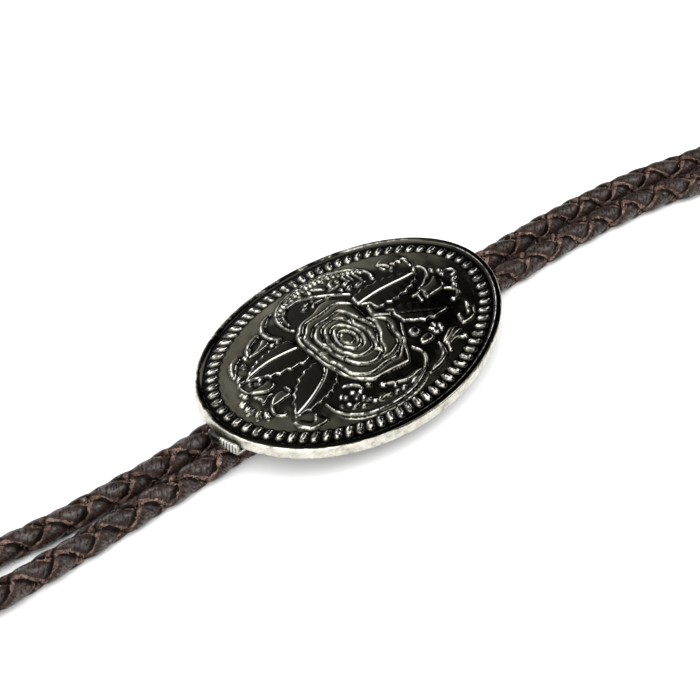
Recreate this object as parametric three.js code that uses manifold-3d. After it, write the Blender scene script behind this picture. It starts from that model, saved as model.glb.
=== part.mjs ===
// Bolo tie: an arched oval ornament plate, the pressed clip behind it, and one
// braided leather cord that runs through the clip twice and ends in two metal tips.
// Millimetres, +Z up. The tie lies on its back on a flat surface at z = 0, with the
// plate's long axis along X, the neck loop towards +X and the free ends towards -X.
import * as THREE from 'three';
import { mergeVertices } from 'three/addons/utils/BufferGeometryUtils.js';
import Module from 'manifold-3d';

// ---- driving dimensions -------------------------------------------------------
const PLATE_A = 28.0;            // half length of the oval plate
const PLATE_B = 19.1;            // half width of the oval plate
const PLATE_TOP = 8.4;           // height of the rim's crown line above the surface
const PLATE_THICK = 2.2;         // thickness at the rim
const PLATE_ARCH = 1.93;         // how far the long sides drop below the crown line
const RIM_WIDTH = 1.1;           // flat raised rim round the edge
const FIELD_DEPTH = 0.45;        // field recess below the rim
const BEAD_OUTER = 1.7;          // bead border, distances in from the edge
const BEAD_INNER = 3.9;
const BEAD_HEIGHT = 0.35;        // bead border above the field
const ROSE_A = 7.6;              // rose mound, half length and half width
const ROSE_HEIGHT = 0.4;

const CORD_D = 4.4;              // braided cord
const CORD_SIDES = 10;
const CORD_STEPS = 80;

const SHEET = 0.5;               // clip sheet thickness
const CLIP_LENGTH = 32.0;        // channel length along the strands
const CLIP_SPACING = 4.9;        // strand to strand inside the clip
const CLIP_BORE_R = 2.375;       // inner radius of each channel
const CLIP_SLOT = 1.2;           // slot between the folded arms underneath
const TONGUE_Y0 = -4.9;          // tongue that runs out under the plate's -X end
const TONGUE_Y1 = 1.0;
const LIP_GAP = 0.35;            // lip in front of the plate's edge
const LIP_THICK = 0.7;
const LIP_TOP = 7.3;

const TIP_LENGTH = 30.0;         // cord tips
const TIP_R = 2.9;               // radius at the mouth
const TIP_END_R = 1.9;           // radius near the closed end
const TIP_BORE_R = 2.45;
const TIP_BORE_DEPTH = 6.0;
const CORD_IN_TIP = 5.6;
const TIP_X = -73.0;             // where both tips begin

// Both strands side by side: centre line, half spacing and height of the cord's axis.
const FLOOR = CORD_D / 2;
const INCLIP = SHEET + CLIP_BORE_R;
const PAIR = [
  // x,     mid,   half,             z
  { x: -64, mid: 3.05, half: 3.35, z: 2.55 },
  { x: -54, mid: 2.10, half: 2.80, z: FLOOR + 0.02 },
  { x: -44, mid: 1.42, half: 2.50, z: FLOOR },
  { x: -34, mid: 0.88, half: 2.37, z: FLOOR },
  { x: -18, mid: 0.00, half: CLIP_SPACING / 2, z: INCLIP },
  { x: 0, mid: 0.00, half: CLIP_SPACING / 2, z: INCLIP },
  { x: 18, mid: 0.00, half: CLIP_SPACING / 2, z: INCLIP },
  { x: 34, mid: -0.75, half: 2.37, z: FLOOR },
  { x: 46, mid: -1.42, half: 2.35, z: FLOOR },
  { x: 58, mid: -2.78, half: 2.35, z: FLOOR },
  { x: 68, mid: -4.75, half: 2.42, z: FLOOR },
  { x: 77, mid: -7.50, half: 2.60, z: FLOOR },
];
// The neck loop past the shared stretch, laid out long and narrow on the surface.
const LOOP_REAR = [
  { x: 90, y: -7.4 }, { x: 103, y: -5.6 }, { x: 118, y: 2.4 },
  { x: 134, y: 10.2 }, { x: 155, y: 15.4 }, { x: 182, y: 16.7 },
];
const LOOP_FRONT = [
  { x: 182, y: -16.9 }, { x: 150, y: -17.0 }, { x: 118, y: -16.6 }, { x: 95, y: -14.6 },
];
const LOOP_END = { x: 204.3, y: -0.1, r: 16.8, degrees: [70, 35, 0, -35, -70] };

// The plate's centre is moved so that the slide, lip included, is centred on the origin.
const SLIDE_SHIFT = (LIP_GAP + LIP_THICK) / 2;

// ---- helpers ------------------------------------------------------------------
const wasm = await Module();
wasm.setup();

function weld(geometry) {
  const g = geometry.clone();
  for (const name of Object.keys(g.attributes)) if (name !== 'position') g.deleteAttribute(name);
  return mergeVertices(g, 1e-4);
}

function toSolid(geometry) {
  const g = weld(geometry);
  return new wasm.Manifold(new wasm.Mesh({
    numProp: 3,
    vertProperties: new Float32Array(g.attributes.position.array),
    triVerts: new Uint32Array(g.index.array),
  }));
}

function fromSolid(solid) {
  const m = solid.getMesh();
  const g = new THREE.BufferGeometry();
  g.setAttribute('position', new THREE.BufferAttribute(new Float32Array(m.vertProperties), 3));
  g.setIndex(new THREE.BufferAttribute(new Uint32Array(m.triVerts), 1));
  return g;
}

function piece(name, geometry, colour, roughness, metalness) {
  geometry.computeVertexNormals();
  const mesh = new THREE.Mesh(geometry, new THREE.MeshStandardMaterial({ color: colour, roughness, metalness }));
  mesh.name = name;
  return mesh;
}

// ---- oval plate ---------------------------------------------------------------
// A turned profile, squeezed to the oval with a constant border width, then arched.
function plateGeometry() {
  const edge = (inset) => PLATE_A - inset;
  const field = -FIELD_DEPTH;
  const bead = field + BEAD_HEIGHT;
  const top = [
    [edge(0), -0.25], [edge(0.25), 0], [edge(RIM_WIDTH), 0], [edge(RIM_WIDTH + 0.3), field],
    [edge(BEAD_OUTER), field], [edge(BEAD_OUTER + 0.35), bead], [edge(BEAD_INNER - 0.35), bead],
    [edge(BEAD_INNER), field], [19, field], [14, field], [ROSE_A + 1.2, field],
    [ROSE_A, field + ROSE_HEIGHT * 0.8], [4, field + ROSE_HEIGHT], [0, field + ROSE_HEIGHT],
  ];
  const back = [0, 5, 10, 15, 20, 24, 26.5].map((r) => [r, -PLATE_THICK]);
  back.push([edge(0.25), -PLATE_THICK], [edge(0), -PLATE_THICK + 0.25]);
  const profile = [...back, ...top].map(([r, z]) => new THREE.Vector2(r, z));
  const g = new THREE.LatheGeometry(profile, 72);
  g.rotateX(Math.PI / 2);
  const p = g.attributes.position;
  const core = PLATE_A - 5;
  for (let i = 0; i < p.count; i++) {
    const x = p.getX(i), y = p.getY(i), r = Math.hypot(x, y);
    if (r > 1e-6) {
      const across = r > core ? PLATE_B - (PLATE_A - r) : (PLATE_B - 5) * (r / core);
      const yy = (y / r) * across;
      p.setXYZ(i, x, yy, p.getZ(i) + PLATE_TOP - PLATE_ARCH * (yy / PLATE_B) ** 2);
    } else {
      p.setXYZ(i, 0, 0, p.getZ(i) + PLATE_TOP);
    }
  }
  return g;
}

// ---- clip ---------------------------------------------------------------------
// Sheet folded round both strands, open by a slot underneath, with a tongue that
// runs out under the plate's end and turns up as a short lip in front of its edge.
function clipGeometry() {
  const c = CLIP_SPACING / 2, ri = CLIP_BORE_R, ro = ri + SHEET, h = 2 * ro, s = CLIP_SLOT / 2;
  const wall = new THREE.Shape();
  wall.moveTo(s, 0);
  wall.lineTo(c, 0);
  wall.absarc(c, ro, ro, -Math.PI / 2, Math.PI / 2, false);
  wall.lineTo(-c, h);
  wall.absarc(-c, ro, ro, Math.PI / 2, Math.PI * 1.5, false);
  wall.lineTo(-s, 0);
  wall.lineTo(-s, SHEET);
  wall.lineTo(-c, SHEET);
  wall.absarc(-c, ro, ri, Math.PI * 1.5, Math.PI / 2, true);
  wall.lineTo(c, h - SHEET);
  wall.absarc(c, ro, ri, Math.PI / 2, -Math.PI / 2, true);
  wall.lineTo(s, SHEET);
  wall.closePath();
  const channel = new THREE.ExtrudeGeometry(wall, { depth: CLIP_LENGTH, bevelEnabled: false, curveSegments: 10 });
  const toX = new THREE.Matrix4().makeBasis(
    new THREE.Vector3(0, 1, 0), new THREE.Vector3(0, 0, 1), new THREE.Vector3(1, 0, 0));
  channel.applyMatrix4(toX);
  channel.translate(-CLIP_LENGTH / 2, 0, 0);

  const rimX = (y, off) => -(PLATE_A + off) * Math.sqrt(1 - (y / (PLATE_B + off)) ** 2);
  const outline = (inner, outer) => {
    const shape = new THREE.Shape(), n = 8;
    for (let i = 0; i <= n; i++) {
      const y = TONGUE_Y0 + (TONGUE_Y1 - TONGUE_Y0) * i / n;
      if (i === 0) shape.moveTo(outer(y), y); else shape.lineTo(outer(y), y);
    }
    for (let i = n; i >= 0; i--) {
      const y = TONGUE_Y0 + (TONGUE_Y1 - TONGUE_Y0) * i / n;
      shape.lineTo(inner(y), y);
    }
    shape.closePath();
    return shape;
  };
  const slab = (shape, z0, z1) => {
    const g = new THREE.ExtrudeGeometry(shape, { depth: z1 - z0, bevelEnabled: false });
    g.translate(0, 0, z0);
    return g;
  };
  const front = (y) => rimX(y, LIP_GAP + LIP_THICK);
  const tongue = slab(outline(() => -CLIP_LENGTH / 2 + 2, front), h - SHEET, h);
  const lip = slab(outline((y) => rimX(y, LIP_GAP), front), h - SHEET, LIP_TOP);
  return fromSolid(toSolid(channel).add(toSolid(tongue)).add(toSolid(lip)));
}

// ---- cord ---------------------------------------------------------------------
function strandPoint(row, i, side) {
  const a = PAIR[Math.max(0, i - 1)], b = PAIR[Math.min(PAIR.length - 1, i + 1)];
  const t = new THREE.Vector2(b.x - a.x, b.mid - a.mid).normalize();
  return new THREE.Vector3(row.x - t.y * row.half * side, row.mid + t.x * row.half * side, row.z);
}

const rear = PAIR.map((row, i) => strandPoint(row, i, 1));
const front = PAIR.map((row, i) => strandPoint(row, i, -1));

// A tip's mouth and direction carry on the line of its strand; the tip leans down
// so that its mouth and its closed end both lie on the surface.
const TIP_SINK = -(TIP_R - TIP_END_R) / (TIP_LENGTH - 2);
function tipPlace(strand) {
  const d = new THREE.Vector3().subVectors(strand[0], strand[1]).setZ(0).normalize();
  const k = (TIP_X - strand[0].x) / d.x;
  const mouth = new THREE.Vector3(TIP_X, strand[0].y + d.y * k, TIP_R + 0.09);
  d.z = TIP_SINK;
  return { mouth, dir: d.normalize() };
}
const tipRear = tipPlace(rear), tipFront = tipPlace(front);

const at = (tip, along) => tip.mouth.clone().addScaledVector(tip.dir, along);
const flat = (row) => new THREE.Vector3(row.x, row.y, FLOOR);
const turn = LOOP_END.degrees.map((deg) => {
  const a = THREE.MathUtils.degToRad(deg);
  return new THREE.Vector3(LOOP_END.x + LOOP_END.r * Math.cos(a), LOOP_END.y + LOOP_END.r * Math.sin(a), FLOOR);
});
const cordRoute = new THREE.CatmullRomCurve3([
  at(tipRear, CORD_IN_TIP), at(tipRear, 0), ...rear,
  ...LOOP_REAR.map(flat), ...turn, ...LOOP_FRONT.map(flat),
  ...[...front].reverse(), at(tipFront, 0), at(tipFront, CORD_IN_TIP),
], false, 'centripetal');
cordRoute.arcLengthDivisions = 2000;

function cordGeometry() {
  const section = new THREE.Shape();
  for (let i = 0; i < CORD_SIDES; i++) {
    const a = (i / CORD_SIDES) * Math.PI * 2;
    const x = Math.cos(a) * CORD_D / 2, y = Math.sin(a) * CORD_D / 2;
    if (i === 0) section.moveTo(x, y); else section.lineTo(x, y);
  }
  section.closePath();
  return new THREE.ExtrudeGeometry(section, { steps: CORD_STEPS, extrudePath: cordRoute, bevelEnabled: false });
}

// ---- tips ---------------------------------------------------------------------
function tipGeometry() {
  const profile = [
    [0, TIP_LENGTH], [0.8, TIP_LENGTH - 0.15], [1.5, TIP_LENGTH - 0.7], [TIP_END_R, TIP_LENGTH - 2],
    [TIP_END_R + 0.1, TIP_LENGTH - 6], [2.35, 14], [2.75, 3.7], [2.6, 3.3], [2.6, 2.7], [TIP_R, 2.3], [TIP_R, 0],
    [TIP_BORE_R, 0], [TIP_BORE_R, TIP_BORE_DEPTH], [0, TIP_BORE_DEPTH],
  ].reverse().map(([r, y]) => new THREE.Vector2(r, y));
  return new THREE.LatheGeometry(profile, 24);
}

// ---- assembly -----------------------------------------------------------------
const tie = new THREE.Group();
tie.position.x = SLIDE_SHIFT;

tie.add(piece('slide_plate', plateGeometry(), 0x1c1b18, 0.22, 1.0));
tie.add(piece('cord_clip', clipGeometry(), 0x8d8a82, 0.35, 1.0));
tie.add(piece('cord', cordGeometry(), 0x2b1d17, 0.6, 0.0));
for (const [name, tip] of [['tip_rear', tipRear], ['tip_front', tipFront]]) {
  const mesh = piece(name, tipGeometry(), 0x6e6c66, 0.3, 1.0);
  mesh.position.copy(tip.mouth);
  mesh.quaternion.setFromUnitVectors(new THREE.Vector3(0, 1, 0), tip.dir);
  tie.add(mesh);
}

export default tie;
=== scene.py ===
import math
import bpy
import numpy as np
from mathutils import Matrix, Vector


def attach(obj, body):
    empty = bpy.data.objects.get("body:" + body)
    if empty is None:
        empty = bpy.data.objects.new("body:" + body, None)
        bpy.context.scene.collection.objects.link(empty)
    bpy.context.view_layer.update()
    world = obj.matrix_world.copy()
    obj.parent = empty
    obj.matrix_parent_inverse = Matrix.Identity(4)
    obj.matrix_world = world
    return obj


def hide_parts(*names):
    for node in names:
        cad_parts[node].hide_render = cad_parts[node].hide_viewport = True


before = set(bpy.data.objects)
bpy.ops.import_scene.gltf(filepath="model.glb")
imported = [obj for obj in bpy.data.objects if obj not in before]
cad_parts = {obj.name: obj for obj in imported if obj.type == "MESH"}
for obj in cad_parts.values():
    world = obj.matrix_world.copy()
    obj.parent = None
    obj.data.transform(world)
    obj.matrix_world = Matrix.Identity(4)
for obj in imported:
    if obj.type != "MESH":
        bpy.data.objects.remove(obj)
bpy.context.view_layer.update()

MM = 0.001

# ------------------------------------------------------------------ main sizes (mm)
A, B = 28.0, 19.1            # half length and half width of the oval plate
TOP = 8.4                    # crown line of the rim above the surface
THICK = 2.2
ARCH = 1.93                  # drop of the long sides
FIELD = -0.46                # field below the rim
SHIFT = 0.525                # plate centre along X
CORD_D = 4.4
SHEET = 0.5
CLIP_LENGTH = 32.0
CLIP_SPACING = 4.9
CLIP_BORE_R = 2.375
CLIP_SLOT = 1.2
TONGUE_Y = (-4.9, 1.0)
LIP_GAP, LIP_THICK, LIP_TOP = 0.35, 0.7, 7.3
TIP_LENGTH, TIP_R, TIP_END_R = 30.0, 2.9, 1.9
TIP_BORE_R, TIP_BORE_DEPTH, CORD_IN_TIP, TIP_X = 2.45, 6.0, 5.6, -73.0


# ------------------------------------------------------------------ small helpers
def smooth(t):
    t = np.clip(t, 0.0, 1.0)
    return t * t * (3 - 2 * t)


def hash01(n):
    v = np.sin(np.asarray(n, float) * 12.9898 + 4.1414) * 43758.5453
    return v - np.floor(v)


def noise1(x, seed=0.0):
    """Smooth noise on a line, -1 to 1."""
    i = np.floor(x)
    f = smooth(x - i)
    return ((1 - f) * hash01(i + seed * 57.0) + f * hash01(i + 1 + seed * 57.0)) * 2 - 1


def curve(points, closed=False, step=0.12):
    """Smooth curve through chart points, sampled about every step mm."""
    p = np.asarray(points, float)
    n = len(p)
    if closed:
        q = np.vstack([p[-1], p, p[0], p[1]])
        spans = n
    else:
        q = np.vstack([2 * p[0] - p[1], p, 2 * p[-1] - p[-2]])
        spans = n - 1
    out = []
    for i in range(spans):
        p0, p1, p2, p3 = q[i], q[i + 1], q[i + 2], q[i + 3]
        m = max(2, int(np.ceil(np.linalg.norm(p2 - p1) / step)))
        t = (np.arange(m) / m)[:, None]
        d0, d1, d2 = (max(1e-6, np.linalg.norm(b - a)) ** 0.5 for a, b in ((p0, p1), (p1, p2), (p2, p3)))
        m1 = ((p1 - p0) / d0 - (p2 - p0) / (d0 + d1) + (p2 - p1) / d1) * d1
        m2 = ((p2 - p1) / d1 - (p3 - p1) / (d1 + d2) + (p3 - p2) / d2) * d1
        out.append(p1 + m1 * t + (3 * (p2 - p1) - 2 * m1 - m2) * t ** 2 + (2 * (p1 - p2) + m1 + m2) * t ** 3)
    if not closed:
        out.append(p[-1:])
    return np.vstack(out)


def near(P, line, reach, closed=False):
    """Indices of points near a polyline, their distance to it and the place along it (0..1)."""
    lo, hi = line.min(0) - reach, line.max(0) + reach
    idx = np.nonzero((P[:, 0] > lo[0]) & (P[:, 0] < hi[0]) & (P[:, 1] > lo[1]) & (P[:, 1] < hi[1]))[0]
    a = line if not closed else np.vstack([line, line[:1]])
    s, e = a[:-1], a[1:]
    seg = e - s
    ll = np.maximum((seg ** 2).sum(1), 1e-12)
    cum = np.concatenate([[0], np.cumsum(np.sqrt(ll))])
    best = np.full(len(idx), 1e9)
    place = np.zeros(len(idx))
    Q = P[idx]
    for k in range(0, len(s), 24):
        d = Q[:, None] - s[None, k:k + 24]
        t = np.clip((d * seg[None, k:k + 24]).sum(2) / ll[None, k:k + 24], 0, 1)
        r = d - t[..., None] * seg[None, k:k + 24]
        dist = np.sqrt((r ** 2).sum(2))
        j = dist.argmin(1)
        v = dist[np.arange(len(idx)), j]
        better = v < best
        best[better] = v[better]
        place[better] = (cum[k + j] + t[np.arange(len(idx)), j] * np.sqrt(ll[k + j]))[better]
    return idx, best, place / cum[-1]


def inside(P, poly):
    x, y = P[:, 0], P[:, 1]
    res = np.zeros(len(P), bool)
    for (x0, y0), (x1, y1) in zip(poly, np.roll(poly, -1, 0)):
        if y0 == y1:
            continue
        hit = ((y0 > y) != (y1 > y)) & (x < (x1 - x0) * (y - y0) / (y1 - y0) + x0)
        res ^= hit
    return res


def new_mesh(name, verts_mm, faces, shade=True):
    me = bpy.data.meshes.new(name)
    me.from_pydata((np.asarray(verts_mm) * MM).tolist(), [], [tuple(int(i) for i in f) for f in faces])
    me.update()
    if shade:
        me.polygons.foreach_set("use_smooth", [True] * len(me.polygons))
    ob = bpy.data.objects.new(name, me)
    bpy.context.scene.collection.objects.link(ob)
    return ob


def attribute(ob, name, values):
    at = ob.data.attributes.new(name, "FLOAT", "POINT")
    at.data.foreach_set("value", np.asarray(values, np.float32))


# ------------------------------------------------------------------ relief chart (mm)
# Everything below is charted on the plate's face: x along it, y across it.
ROSE = [(-5.6, 6.5), (-4.8, 7.2), (-3.5, 7.75), (-2.0, 7.9), (-0.8, 8.1), (0.3, 8.6), (1.5, 8.85), (2.7, 8.7),
        (3.8, 7.9), (4.6, 6.8), (5.1, 5.6), (5.0, 4.4), (4.9, 3.0), (4.8, 1.8), (5.3, 0.7), (6.2, 0.1), (7.2, -0.5),
        (7.9, -1.5), (8.0, -2.8), (7.6, -3.8), (7.0, -4.6), (6.4, -5.6), (5.6, -6.6), (5.0, -7.3), (4.4, -8.3),
        (3.7, -9.4), (3.1, -10.05), (1.5, -9.95), (0.0, -9.7), (-2.0, -9.45), (-3.6, -9.25), (-4.6, -8.6),
        (-5.6, -7.4), (-6.2, -6.4), (-6.8, -5.2), (-7.3, -3.2), (-7.5, -1.5), (-7.4, 0.5), (-7.5, 2.2),
        (-7.3, 4.0), (-6.8, 5.2), (-6.3, 5.9)]
# grooves between the petals: half width, points
ROSE_GROOVES = [
    (0.24, [(5.3, 5.1), (4.7, 5.5), (4.0, 6.1), (3.2, 6.75), (2.3, 7.0), (1.0, 6.85), (-0.5, 6.72), (-2.4, 6.8),
            (-3.6, 6.7), (-4.4, 6.15), (-5.2, 5.4), (-6.0, 4.9), (-6.5, 3.9), (-6.6, 2.6), (-6.65, 1.2), (-6.8, -0.6),
            (-6.7, -2.0), (-6.25, -3.2), (-6.15, -4.5), (-6.0, -5.9), (-5.3, -6.9), (-4.4, -7.6), (-3.4, -8.1),
            (-2.0, -8.25), (-0.5, -8.08), (0.8, -8.12), (2.0, -8.28), (2.9, -7.85), (3.7, -7.2), (4.7, -6.6),
            (5.5, -6.0)]),
    (0.25, [(-4.9, 0.2), (-5.2, 1.0), (-5.25, 2.0), (-5.1, 3.0), (-4.6, 3.9), (-3.8, 4.6), (-3.1, 5.05), (-2.0, 5.27),
            (-0.5, 5.15), (1.0, 5.25), (2.0, 5.32), (2.45, 4.8), (2.7, 4.0), (2.9, 2.8), (3.2, 1.6), (3.45, 0.5),
            (3.75, -0.6), (3.9, -1.6), (3.55, -2.6), (2.8, -3.4), (2.25, -4.2), (2.0, -5.1), (1.5, -5.8), (0.4, -6.35),
            (-0.6, -6.7), (-1.8, -6.58), (-2.8, -6.1), (-3.6, -5.4), (-4.15, -4.6), (-4.5, -3.6), (-4.9, -2.6),
            (-5.15, -1.7), (-5.2, -0.7), (-4.9, 0.2)]),
    (0.23, [(-4.0, 0.4), (-4.1, 1.2), (-3.6, 2.2), (-3.1, 3.2), (-2.4, 3.95), (-1.4, 4.22), (-0.3, 4.25), (0.6, 4.2),
            (1.2, 3.6), (1.5, 2.6), (1.65, 1.5), (2.0, 0.4), (2.2, -0.8), (1.95, -2.0), (1.6, -3.2), (1.0, -4.2),
            (0.2, -4.52), (-1.0, -4.62), (-2.2, -4.4), (-3.0, -3.8), (-3.4, -2.8), (-3.9, -1.8), (-4.2, -0.6),
            (-4.0, 0.4)]),
    (0.22, [(0.55, 2.0), (0.2, 2.45), (-0.5, 2.95), (-1.4, 2.9), (-2.0, 2.4), (-2.5, 1.5), (-2.9, 0.6), (-3.0, -0.3),
            (-2.8, -1.2), (-2.4, -2.0), (-1.9, -2.7), (-1.0, -2.92), (-0.1, -2.7), (0.6, -2.0), (1.0, -1.0), (1.15, 0.1),
            (0.95, 1.0), (0.55, 2.0)]),
    (0.2, [(-2.1, 0.2), (-1.6, 1.0), (-1.0, 1.5), (-0.3, 1.1), (0.1, 0.4), (0.2, -0.4), (-0.1, -1.2), (-0.8, -1.6),
           (-1.5, -1.6), (-2.0, -1.0), (-2.2, -0.4), (-2.1, 0.2)]),
    (0.22, [(0.5, -7.15), (1.8, -7.32), (3.1, -6.95), (4.3, -6.4), (4.95, -5.6), (5.2, -4.4), (5.5, -3.4), (6.0, -2.6),
            (6.35, -1.6), (6.1, -0.8), (5.6, -0.05), (4.9, 0.3)]),
    (0.2, [(3.5, -2.4), (4.2, -1.2), (4.6, -0.2), (4.4, 0.9)]),
    (0.18, [(-5.2, -0.6), (-5.9, -0.4), (-6.6, 0.0)]),
    (0.18, [(-4.2, 0.3), (-4.7, 1.1), (-5.2, 1.4)]),
    (0.18, [(1.6, 1.6), (2.2, 2.4), (2.7, 3.4)]),
    (0.18, [(-3.2, -3.4), (-3.9, -3.0), (-4.6, -3.2)]),
    (0.18, [(0.3, -4.5), (0.9, -5.2), (1.2, -5.9)]),
]
ROSE_CORE = [(-1.85, -0.5), (-1.55, 0.45), (-0.95, 0.95), (-0.5, 0.5), (-0.45, -0.4), (-0.8, -1.05), (-1.4, -1.1)]
SIDE_PETAL = [(5.45, 0.95), (5.75, 2.0), (6.3, 3.1), (6.75, 3.35), (7.0, 2.6), (6.95, 1.4), (7.4, 0.4), (8.2, -0.3),
              (7.7, -1.0), (6.5, 0.05)]

# four serrated leaves: outline, midrib and slope of the bevel along it
LEAVES = [
    ([(-7.85, 5.0), (-8.0, 6.1), (-9.0, 6.35), (-9.3, 6.15), (-10.4, 6.45), (-10.7, 6.2), (-11.9, 6.5), (-12.2, 6.2),
      (-13.3, 6.4), (-13.7, 6.0), (-14.8, 6.1), (-15.1, 5.65), (-16.0, 5.6), (-16.3, 5.1), (-17.2, 4.95), (-17.6, 4.4),
      (-18.7, 3.75), (-18.0, 3.3), (-17.4, 3.1), (-16.4, 2.5), (-15.6, 2.3), (-15.4, 1.75), (-14.3, 1.75),
      (-13.9, 1.2), (-12.4, 1.25), (-11.9, 0.75), (-10.2, 0.85), (-9.7, 0.4), (-8.2, 0.7), (-7.8, 1.6)],
     [(-18.6, 3.75), (-17.2, 4.1), (-15.0, 4.38), (-13.0, 4.4), (-11.0, 4.18), (-9.0, 3.82), (-7.7, 3.6)], 0.62),
    ([(-7.9, -0.7), (-9.0, -0.35), (-9.6, -0.75), (-10.9, -0.65), (-11.3, -1.15), (-12.6, -1.3), (-12.9, -1.9),
      (-14.0, -2.3), (-14.3, -2.85), (-15.3, -3.2), (-15.5, -3.9), (-16.5, -4.5), (-16.6, -5.2), (-17.3, -5.8),
      (-18.0, -6.95), (-17.0, -7.15), (-15.7, -7.15), (-15.2, -7.45), (-13.7, -7.2), (-12.9, -7.3), (-12.1, -6.95),
      (-11.4, -7.1), (-10.6, -6.65), (-10.0, -6.8), (-9.3, -6.15), (-8.5, -6.1), (-8.0, -5.3), (-7.2, -4.7),
      (-7.5, -3.2), (-7.8, -2.0)],
     [(-17.8, -6.85), (-15.5, -6.35), (-13.5, -5.7), (-11.5, -4.9), (-9.5, -3.9), (-8.2, -2.9), (-7.6, -2.1)], 0.42),
    ([(5.5, 5.0), (5.9, 6.25), (7.0, 6.65), (7.3, 6.45), (8.3, 6.95), (8.7, 6.6), (9.9, 6.85), (10.4, 6.4), (11.5, 6.65),
      (12.0, 6.15), (13.0, 6.35), (13.5, 5.8), (14.6, 5.75), (15.0, 5.2), (15.9, 5.05), (16.3, 4.5), (17.8, 3.75),
      (17.4, 2.9), (16.7, 2.6), (16.4, 2.05), (15.4, 2.1), (15.0, 1.5), (13.9, 1.65), (13.4, 1.1), (12.2, 1.4),
      (11.6, 1.0), (10.6, 1.35), (10.0, 1.0), (9.2, 1.55), (8.4, 1.35), (7.4, 1.75), (7.1, 2.4), (7.1, 3.3), (6.0, 3.9)],
     [(5.5, 4.35), (7.5, 4.42), (10.0, 4.42), (12.5, 4.15), (15.0, 3.8), (17.7, 3.55)], 0.66),
    ([(7.9, 0.55), (9.2, 0.35), (9.7, -0.2), (10.8, -0.15), (11.2, -0.8), (12.2, -1.0), (12.5, -1.6), (13.4, -2.0),
      (13.6, -2.8), (14.4, -3.3), (14.6, -4.1), (15.2, -4.6), (15.75, -5.75), (15.2, -6.05), (13.6, -5.95), (12.6, -6.0),
      (12.1, -5.4), (11.0, -5.5), (10.5, -4.85), (9.6, -4.35), (8.9, -3.7), (8.25, -3.4), (8.25, -2.4), (8.15, -1.2),
      (8.6, -0.4)],
     [(8.3, -1.3), (10.0, -2.4), (12.0, -3.8), (14.0, -5.0), (15.6, -5.75)], 0.10),
]

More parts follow.
